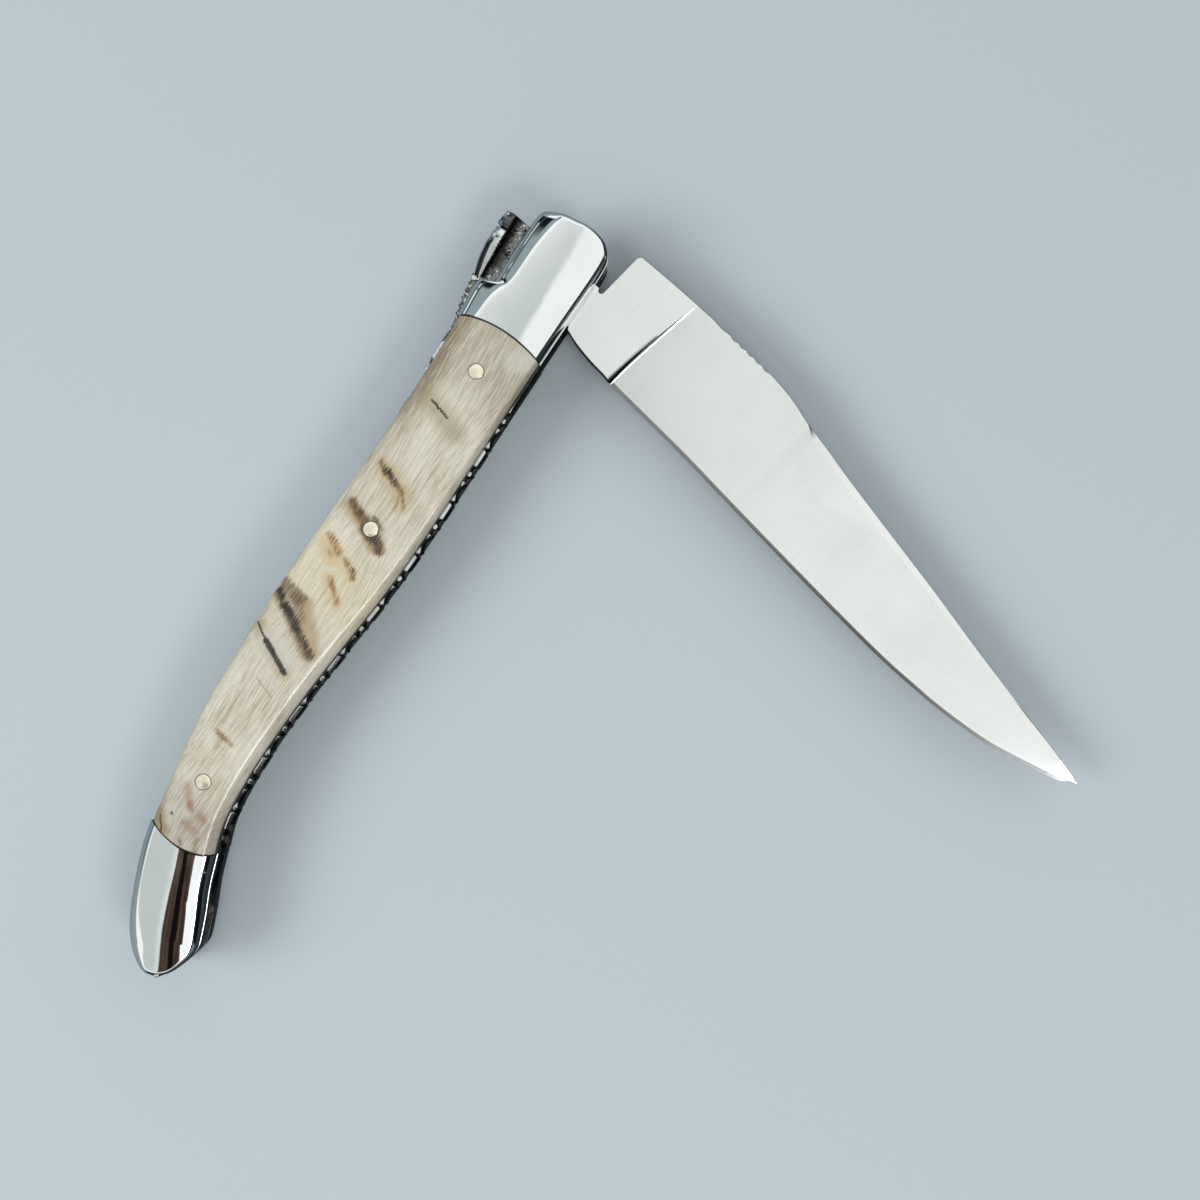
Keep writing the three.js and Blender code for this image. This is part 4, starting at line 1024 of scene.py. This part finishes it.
def carving(x, across):
    # Depth of the carving on the spring's top: crossed grooves that leave small pyramids, then leaves with
    # a midrib, a bead and three nicks. across runs from -1 to 1 over the spring's width.
    c = carvings
    ways = [x / c["knurlPitch"] + way * across * c["knurlSlant"] for way in (1, -1)]
    ridge = np.minimum(*[np.abs(np.sin(np.pi * way)) for way in ways])
    depth = between(x, *c["knurl"]) * c["knurlDepth"] * (1 - ridge) ** 0.8
    depth = depth + c["stepDepth"] * between(x, *c["step"])
    for start, end in c["leaves"]:
        t = np.clip((x - start) / (end - start), 0, 1)
        leaf = c["leafWidth"] * np.sin(np.pi * t ** 0.75) ** 0.7
        outside = smoothstep(np.abs(across), leaf - 0.05, leaf + 0.16)
        rib = c["ribDepth"] * (1 - smoothstep(np.abs(across), 0.0, c["ribWidth"]))
        vein = np.cos(2 * np.pi * (x / c["veinPitch"] - np.abs(across) * c["veinSlant"]))
        leafCut = c["leafDepth"] * outside + (1 - outside) * (rib + c["veinDepth"] * (0.5 + 0.5 * vein))
        depth = depth + np.where((x > start) & (x < end), leafCut, 0)
    depth = depth + c["hollowDepth"] * between(x, *c["hollow"])
    for place in c["nicks"]:
        depth = depth + c["nickDepth"] * np.exp(-((x - place) / c["nickWidth"]) ** 2)
    return depth


def springSection():
    # Points of a section as shares of the half width and of the height: up the right side, over the top, down
    # the left side and back under. Also where it is top and where it is side.
    half = spring["width"] / 2
    ease = spring["ease"]
    up = np.array([0, 0.2, 0.4, 0.55, 0.65, 0.75, 0.85, 0.94, 1.0])
    over, under = np.linspace(1, -1, 33), np.linspace(-half + ease, half - ease, 5)
    z = np.concatenate([np.full(len(up), half), over * (half - ease), np.full(len(up), -half), under])
    share = np.concatenate([up, np.ones(len(over)), up[::-1], np.zeros(len(under))])
    counts = (len(up), len(over), len(up), len(under))
    isTop, isSide = [np.repeat(part, counts) for part in ([0, 1, 0, 0], [1, 0, 1, 0])]
    return z[None, :], share[None, :], isTop[None, :], isSide[None, :]


def springProfile(x, blockFront, head):
    # Underside and top of the seated spring. Behind the blade's point a rear block fills the handle, with a
    # quarter circle before it, and at the nose a slanted flank falls to the tang.
    s = spring
    h = handle
    stepAt = -h["recessRear"] - h["recessStep"]
    top = np.where(x > stepAt, backAt(stepAt), backAt(x)) - np.maximum(springDip(x), 0)
    top = np.where(x > s["ornamentRear"], s["noseTop"], top)
    pocket = s["tipRoom"] + s["pocket"]
    turn = np.clip((x - blockFront) / pocket, 0, 1)
    tipHeight = springUnder(np.array(blockFront + pocket))
    arc = -s["tipRoom"] + (tipHeight + s["tipRoom"]) * np.sqrt(1 - (1 - turn) ** 2)
    atRear = x < blockFront + 0.001
    under = np.where(x < blockFront + pocket, arc, springUnder(x))
    under = np.where(atRear, bellyAt(x) + s["seatGap"], under)
    flank = np.clip((x - head) / s["flank"], 0, 1)
    under = np.where(x > head, springUnder(np.array(head)) * (1 - flank) + s["noseLevel"] * flank, under)
    top = np.where(atRear, np.maximum(backAt(x) - s["seatGap"], under), top)
    top[0] = under[0]
    return under[:, None], top[:, None]


def springPiece():
    # The section carried along the spring, stretched between its underside and its top, less the carving,
    # with its nose slanted by a share of the height, and then lifted.
    s = spring
    rearEnd = -handle["rear"] + s["seatGap"]
    head = -(blade["shoulder"] - blade["bellyStep"]) - s["flank"] + s["room"]
    blockFront = -blade["length"] - s["tipRoom"]
    rear = rearEnd + (blockFront - rearEnd) * (1 - np.cos(np.linspace(0, np.pi / 2, 40)))
    pocket = blockFront + (s["tipRoom"] + s["pocket"]) * (1 - np.cos(np.linspace(0, np.pi / 2, 24)))
    x = np.unique(np.round(np.concatenate([
        rear, pocket, [blockFront + 0.002], np.linspace(-95, -36, 160),
        np.arange(-36, s["ornamentRear"], s["step"]), [s["ornamentRear"] + 0.002],
        np.linspace(s["ornamentRear"], s["noseReach"], 60),
        [head, head + s["flank"], s["noseReach"] - 0.12]]), 5))
    under, top = springProfile(x, blockFront, head)
    across, share, isTop, isSide = springSection()
    height = np.maximum(top - under, 0)
    cut = carving(x[:, None], across / (s["width"] / 2))
    nearTop = isTop + isSide * smoothstep(share, *s["carvedSide"])
    y = under + height * share - cut * nearTop
    y = np.maximum(y + s["ease"] * isSide * ((share < 0.01) * 1.0 - (share > 0.99)), under)
    start, lean = s["slant"]
    slant = np.clip((x[:, None] - start) / (s["noseReach"] - start), 0, 1)
    rx, ry = lifted(x[:, None] - lean * slant * (1 - share) * (height > 0), y)
    rings = np.stack([rx, ry, np.broadcast_to(handle["midPlane"] + across, rx.shape)], -1)
    # Worn bright on the high spots of the top and along the sides, less so at the knurl. The block's side
    # under the ornament gets painted shadow, darkest just below the ornament's overhang.
    block = smoothstep(x, *s["block"])[:, None]
    knurled = between(x, *s["worn"])[:, None]
    high = isTop * (1 - smoothstep(cut, 0.05, 0.3)) * (1 - 0.62 * knurled)
    sideBright = isSide * smoothstep(share, *s["sideWear"]) * (0.95 - 0.8 * knurled)
    polish = np.clip((high + sideBright) * (1 - block), 0, 1)
    shade = block * isSide * smoothstep(share, *s["blockShade"])
    return tube("backSpring", rings, capEnd=True, sharp=30, attributes={"polish": polish, "shade": shade})


forged = forgedSteel()
springBody = finished(springPiece(), forged, None, "forged_steel", "back_spring")
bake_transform(springBody)
print("spring")


# Ornament: a chiselled bud, welded on the spring's nose

ornament = {"height": 1.95, "width": 5.0, "steps": 150, "around": 84, "facets": 0.07,
            "facetStart": (0.5, 0.56), "leastHigh": 0.03, "flank": (0.60, 0.72),
            "flankLow": (0.95, 0.97), "flankEnd": (0.50, 0.58),
            "flankShade": 0.93, "head": (0.77, 0.79), "headMiddle": 0.76, "headSoft": (0.05, 0.12),
            "headShade": 0.85, "cutShade": (0.10, 0.24)}
budWidths = through([(0, 0.5), (0.25, 0.72), (0.45, 0.86), (0.58, 1), (0.72, 0.84), (0.76, 0.7), (0.84, 0.96),
                     (1, 0.8)])
budHeights = through([(0, 0.55), (0.1, 0.7), (0.25, 0.9), (0.4, 0.97), (0.55, 1), (0.66, 1.0), (0.735, 0.96),
                      (0.765, 0.86), (0.81, 0.98), (0.9, 0.97), (1, 0.84)])
# Cuts into the bud: place along it, place round it in half turns, the two half widths and the depth
budCuts = [
    (0.515, 0.77, 0.035, 0.09, 0.34), (0.765, 0.5, 0.016, 9.0, 0.26), (0.865, 0.70, 0.028, 0.10, 0.36),
    (0.60, 0.88, 0.02, 0.10, 0.2), (0.69, 0.66, 0.02, 0.10, 0.2), (0.955, 0.86, 0.018, 0.1, 0.16),
    (0.34, 0.66, 0.10, 0.05, 0.12), (0.14, 0.72, 0.10, 0.05, 0.12),
]


def ornamentPiece():
    # An arch over the nose whose width and height change along it, with the same cuts from both sides.
    # Its round has a few flat facets at the front.
    o = ornament
    s = spring
    along = np.linspace(0, 1, o["steps"])[:, None]
    turn = np.linspace(0, np.pi, o["around"])[None, :]
    round1 = np.abs(turn / np.pi - 0.5) + 0.5
    cut = np.zeros((o["steps"], o["around"]))
    for place, at, wide, tall, deep in budCuts:
        cut = cut + deep * np.exp(-((along - place) / wide) ** 2 - ((round1 - at) / tall) ** 2)
    facets = o["facets"] * np.abs(np.sin(3 * turn + along * 9)) * smoothstep(along, *o["facetStart"])
    carved = np.clip(1 - cut - facets, 0.3, 1)
    half = (o["width"] / 2) * budWidths(along) * (0.4 + 0.6 * carved)
    high = (o["height"] * budHeights(along) - s["seatGap"]) * carved
    z = -half * np.sign(np.cos(turn)) * np.abs(np.cos(turn)) ** 0.7
    y = s["noseTop"] + s["seatGap"] + np.maximum(high * np.sin(turn) ** 0.6, o["leastHigh"])
    x = s["ornamentRear"] + s["seatGap"] + (s["noseReach"] - s["ornamentRear"] - s["seatGap"]) * along
    x = np.repeat(x, o["around"], 1)
    ax, ay = lifted(x, y)
    bx, by = lifted(x, np.full_like(x, s["noseTop"] + s["seatGap"]))
    arch = np.stack([ax, ay, handle["midPlane"] + z], -1)
    base = np.stack([bx, by, handle["midPlane"] + z], -1)[:, ::-1]
    rings = np.concatenate([arch, base], 1)
    polish = np.concatenate([np.full_like(x, 1.2), np.zeros_like(x)], 1)
    # Painted shade in the cuts, and a painted darker reflection on the flanks of the bud and of its head.
    fallStart, fallEnd = [limit - 0.12 * along for limit in o["flankLow"]]
    flank = smoothstep(round1, *o["flank"]) * (1 - smoothstep(round1, fallStart, fallEnd))
    flank = o["flankShade"] * flank * (1 - smoothstep(along, *o["flankEnd"]))
    aside = np.abs(round1 - o["headMiddle"])
    headFlank = o["headShade"] * smoothstep(along, *o["head"]) * smoothstep(aside, *o["headSoft"])
    shade = np.maximum(smoothstep(cut, *o["cutShade"]), np.maximum(flank, headFlank))
    shade = np.concatenate([shade, np.zeros_like(x)], 1)
    return tube("springOrnament", rings, capStart=True, capEnd=True, sharp=30,
                attributes={"polish": polish, "shade": shade})


finished(ornamentPiece(), forged, "spring", "polished_steel", "spring_ornament")
print("ornament")


# Rivets and pins

def turned(name, x, y, profile, sides=48):
    # A profile of (radius, height) turned about an upright axis.
    angle = np.linspace(0, 2 * np.pi, sides, endpoint=False)
    profile = np.asarray(profile, float)
    rings = np.stack([
        x + profile[:, :1] * np.cos(angle)[None, :],
        y + profile[:, :1] * np.sin(angle)[None, :],
        np.repeat(profile[:, 1:2], sides, 1)], -1)
    return tube(name, rings, capStart=True, capEnd=True, sharp=50)


nickel = nickelSilver()
for sideName, side in sides:
    for placeName, (x, y) in rivetSpots.items():
        bend = np.linspace(0, np.pi / 2, 12)
        face = levelOf(side, handle["cover"] - rivets["sink"])
        profile = [(rivets["radius"], levelOf(side, rivets["inset"] - handle["liner"]))]
        profile += [(rivets["radius"] * math.cos(t), face + side * rivets["dome"] * math.sin(t))
                    for t in bend[:-1]]
        profile += [(rivets["tip"], face + side * rivets["dome"])]
        node = "rivet_%s_%s" % (placeName, sideName)
        finished(turned("rivet" + placeName.capitalize() + sideName.capitalize(), x, y, profile),
                 nickel, "handle", "nickel_silver", node)

# The pivot pin's ends are ground away in the polish of the bolsters.
pivotPin = {"radius": 1.5, "end": 0.4}
pivotLevels = (pivotPin["end"], handle["midPlane"], 2 * handle["midPlane"] - pivotPin["end"])
pivot = turned("pivotPin", 0, 0, [(pivotPin["radius"], level) for level in pivotLevels])
finished(pivot, polished, "handle", "polished_steel", "pivot_pin")
for name in ("spring_pin_middle", "spring_pin_rear"):
    nodes[name].data.materials.clear()
    nodes[name].data.materials.append(linerFinish)
print("rivets and pins")


# Stage: floor, light and camera

def floor():
    sizes = {"half": 1500.0, "sink": 0.02, "turn": (-0.004, 0.004), "tone": srgb(186, 196, 202),
             "behind": srgb(122, 136, 142), "before": srgb(46, 54, 58), "rough": 0.9, "specular": 0.1}
    half = sizes["half"]
    points = [(-half, -half, 0), (half, -half, 0), (half, half, 0), (-half, half, 0)]
    mesh = bpy.data.meshes.new("floor")
    mesh.from_pydata((np.array(points) * mm).tolist(), [], [(0, 1, 2, 3)])
    thing = bpy.data.objects.new("floor", mesh)
    bpy.context.scene.collection.objects.link(thing)
    thing.location.z = -sizes["sink"] * mm
    material = bpy.data.materials.new("paleFloor")
    material.use_nodes = True
    tree = material.node_tree
    # Painted reflection: to glossy rays the floor is cooler behind the knife and dark with painted shadow
    # before it, and the polished edges mirror that.
    at = parted(tree, put(tree, "ShaderNodeTexCoord").outputs["Object"])
    mirrored = mixed(tree, ranged(tree, at[1], *sizes["turn"], 1, 0), sizes["behind"], sizes["before"])
    glossy = put(tree, "ShaderNodeLightPath").outputs["Is Glossy Ray"]
    feed(tree, tree.nodes["Principled BSDF"], {
        "Base Color": mixed(tree, glossy, sizes["tone"], mirrored), "Roughness": sizes["rough"],
        "Specular IOR Level": sizes["specular"]})
    thing.data.materials.append(material)


def softLamp(name, toward, away, size, power, mirrored=True):
    # A rectangular lamp in a direction from the knife's middle, facing it.
    lamp = bpy.data.lights.new(name, "AREA")
    lamp.shape = "RECTANGLE"
    lamp.size = size[0] * mm
    lamp.size_y = size[1] * mm
    lamp.energy = power
    thing = bpy.data.objects.new(name, lamp)
    bpy.context.scene.collection.objects.link(thing)
    back = Vector(toward).normalized()
    side = Vector((0, 1, 0)).cross(back).normalized()
    up = back.cross(side)
    place = Vector((-0.045, 0, 0)) + back * away * mm
    thing.matrix_world = Matrix((
        (side.x, up.x, back.x, place.x), (side.y, up.y, back.y, place.y),
        (side.z, up.z, back.z, place.z), (0, 0, 0, 1)))
    thing.visible_glossy = mirrored
    return thing


# The room that the steel mirrors, by a ray's direction: limits along x, y and z, each as the places where a
# tone starts and ends, and after them, where they aren't none and one, the values there
room = {
    "overheadEdge": (-0.25, 0.1, 0.50, 0.90), "overheadSoft": (-0.01, 0.01), "overheadFade": (0.03, 0.095),
    "coolRise": (0.1, 0.5), "lineOver": (-0.12, -0.10), "lineFront": (-0.2, -0.15, 1, 0),
    "lineRear": (-0.44, -0.36), "streakLow": (0.15, 0.18), "streakHigh": (0.33, 0.30),
    "gapRear": (0.14, 0.13), "gapFront": (0.165, 0.175), "gapFade": (0.15, 0.16, 1, 0.6),
    "streakRear": (0.0, 0.05), "streakFront": (0.26, 0.24), "shadowFront": (0.20, 0.24),
    "shadowHigh": (0.80, 0.76), "underLow": (0.30, 0.34), "underHigh": (0.48, 0.40),
    "whiteEdge": (0.02, 0.1, 0.64, 0.855), "whiteSoft": (0.0, -0.02), "whiteRear": (-0.2, -0.1),
    "wallFall": (0.08, 0.4), "wallFront": (0.035, 0.07), "wallFoot": (0.0, 0.10), "wallTop": (0.13, 0.10),
    "splitLean": -0.32, "splitAt": 0.0605, "splitRear": (-0.12, -0.2, 0, 0.14),
    "splitSoft": (0.0, 0.12, 0.10, 0.007), "frontEnd": (0.36, 0.42), "rearEnd": (-0.54, -0.62),
    "endLow": (0.30, 0.40), "endBack": (0.05, 0.25), "patchRear": (-0.62, -0.56),
    "patchFront": (-0.15, -0.17), "patchSpread": (-0.5, -0.2, 0.06, 0.0), "patchLow": (-0.11, -0.10),
    "patchHigh": (0.225, 0.215), "coreLow": (0.02, 0.05), "coreHigh": (0.12, 0.09), "patchTurn": (0.92, 0.38),
    "mottle": (0.4, 0.7),
}
roomTones = {
    "cool": srgb(96, 108, 112), "coolHigh": srgb(146, 159, 162), "line": srgb(24, 28, 30),
    "overhead": srgb(252, 254, 253), "overheadFar": srgb(196, 202, 200), "shadow": srgb(22, 27, 29),
    "streak": srgb(236, 240, 240), "under": srgb(60, 72, 74), "wall": srgb(62, 76, 78),
    "wallLow": srgb(112, 128, 130), "wallFront": srgb(16, 18, 20), "wallFoot": srgb(10, 11, 12),
    "wallTop": srgb(14, 16, 18), "white": srgb(255, 255, 255), "whiteFront": srgb(246, 248, 247),
    "endLow": srgb(14, 16, 18), "endBack": srgb(146, 152, 153), "end": srgb(248, 250, 250),
    "brown": srgb(58, 45, 43), "brownPale": srgb(92, 76, 66), "core": srgb(18, 14, 14),
    "seen": srgb(206, 214, 218),
}


def studioWorld():
    world = bpy.data.worlds.new("studio")
    bpy.context.scene.world = world
    world.use_nodes = True
    tree = world.node_tree
    way = put(tree, "ShaderNodeTexCoord").outputs["Generated"]
    x, y, z = parted(tree, way)

    def limit(value, name):
        return ranged(tree, value, *room[name])

    def toned(share, first, second):
        # Mixes two tones, each by its name or as it is.
        pair = [roomTones[tone] if isinstance(tone, str) else tone for tone in (first, second)]
        return mixed(tree, share, *pair)

    # Toward the back (+Y): pale overhead, then cool grey, with a dark line between them at the butt's end
    over = maths(tree, "SUBTRACT", z, limit(x, "overheadEdge"))
    line = times(tree, limit(over, "lineOver"), limit(x, "lineFront"), limit(x, "lineRear"))
    back = toned(line, toned(limit(z, "coolRise"), "cool", "coolHigh"), "line")
    pale = toned(limit(over, "overheadFade"), "overhead", "overheadFar")
    back = toned(limit(over, "overheadSoft"), back, pale)
    # A thin light low behind the knife, seen in the rolled edge at both ends of the front bolster
    seen = maths(tree, "ADD", limit(x, "gapRear"), limit(x, "gapFront"), clamp=True)
    streak = times(tree, limit(z, "streakLow"), limit(z, "streakHigh"), seen, limit(x, "gapFade"),
                   limit(x, "streakRear"), limit(x, "streakFront"))
    back = toned(times(tree, limit(x, "shadowFront"), limit(z, "shadowHigh")), back, "shadow")
    back = toned(streak, back, "streak")
    under = times(tree, limit(z, "underLow"), limit(z, "underHigh"), limit(x, "streakRear"))
    back = toned(under, back, "under")
    # Toward the belly: white overhead, then black, with a cool grey wall at the butt's end
    fallen = maths(tree, "SUBTRACT", limit(x, "whiteEdge"), z)
    wall = toned(limit(fallen, "wallFall"), "wall", "wallLow")
    wall = toned(limit(x, "wallFront"), wall, "wallFront")
    wall = toned(limit(z, "wallFoot"), "wallFoot", wall)
    wall = toned(limit(fallen, "wallTop"), wall, "wallTop")
    bright = toned(limit(x, "whiteRear"), "white", "whiteFront")
    belly = toned(limit(fallen, "whiteSoft"), wall, bright)
    # The line between the two leans along the knife, and turns away and grows softer toward the butt.
    split = scaled(tree, x, room["splitLean"], maths(tree, "SUBTRACT", y, room["splitAt"]))
    split = maths(tree, "SUBTRACT", split, limit(x, "splitRear"))
    side = scaled(tree, maths(tree, "DIVIDE", split, limit(x, "splitSoft")), 0.5, 0.5, clamp=True)
    tone = toned(side, belly, back)
    # White toward both ends, and black low behind the butt
    ends = maths(tree, "MAXIMUM", limit(x, "frontEnd"), limit(x, "rearEnd"))
    low = toned(limit(y, "endBack"), "endLow", "endBack")
    tone = toned(ends, tone, toned(limit(z, "endLow"), low, "end"))
    # A brown patch overhead that only the rear bolster mirrors, turned and widening toward the butt
    long, short = room["patchTurn"]
    along = scaled(tree, x, long, times(tree, y, short))
    across = scaled(tree, x, -short, times(tree, y, long))
    low = maths(tree, "ADD", across, ranged(tree, along, *room["patchSpread"], kind="LINEAR"))
    patch = times(tree, limit(along, "patchFront"), limit(along, "patchRear"), limit(low, "patchLow"),
                  limit(across, "patchHigh"))
    mottle = noise(tree, stretched(tree, way, (9, 9, 9)), 1.0, 4, 0.6)
    brown = toned(limit(mottle, "mottle"), "brown", "brownPale")
    brown = toned(times(tree, limit(low, "coreLow"), limit(across, "coreHigh")), brown, "core")
    tone = toned(patch, tone, brown)
    straight = put(tree, "ShaderNodeLightPath").outputs["Is Camera Ray"]
    feed(tree, tree.nodes["Background"], {"Color": toned(straight, tone, "seen"), "Strength": 1.0})


def camera():
    shot = {"place": (-34.06, -28.15, 226.3), "right": (0.55, -0.835), "lens": 46.98}
    data = bpy.data.cameras.new("camera")
    data.sensor_width = 36
    data.lens = shot["lens"]
    data.clip_start = 0.01
    thing = bpy.data.objects.new("camera", data)
    bpy.context.scene.collection.objects.link(thing)
    rx, ry = np.array(shot["right"]) / np.linalg.norm(shot["right"])
    px, py, pz = [v * mm for v in shot["place"]]
    thing.matrix_world = Matrix(((rx, -ry, 0, px), (ry, rx, 0, py), (0, 0, 1, pz), (0, 0, 0, 1)))
    bpy.context.scene.camera = thing


floor()
studioWorld()
softLamp("keyLamp", (-0.55, 0.62, 0.75), 900, (420, 420), 3.6, mirrored=False)
softLamp("windowLamp", (-0.17, -0.62, 0.77), 700, (220, 200), 1.0)
camera()
bpy.context.scene.view_settings.view_transform = "Standard"
print("stage, light and camera")
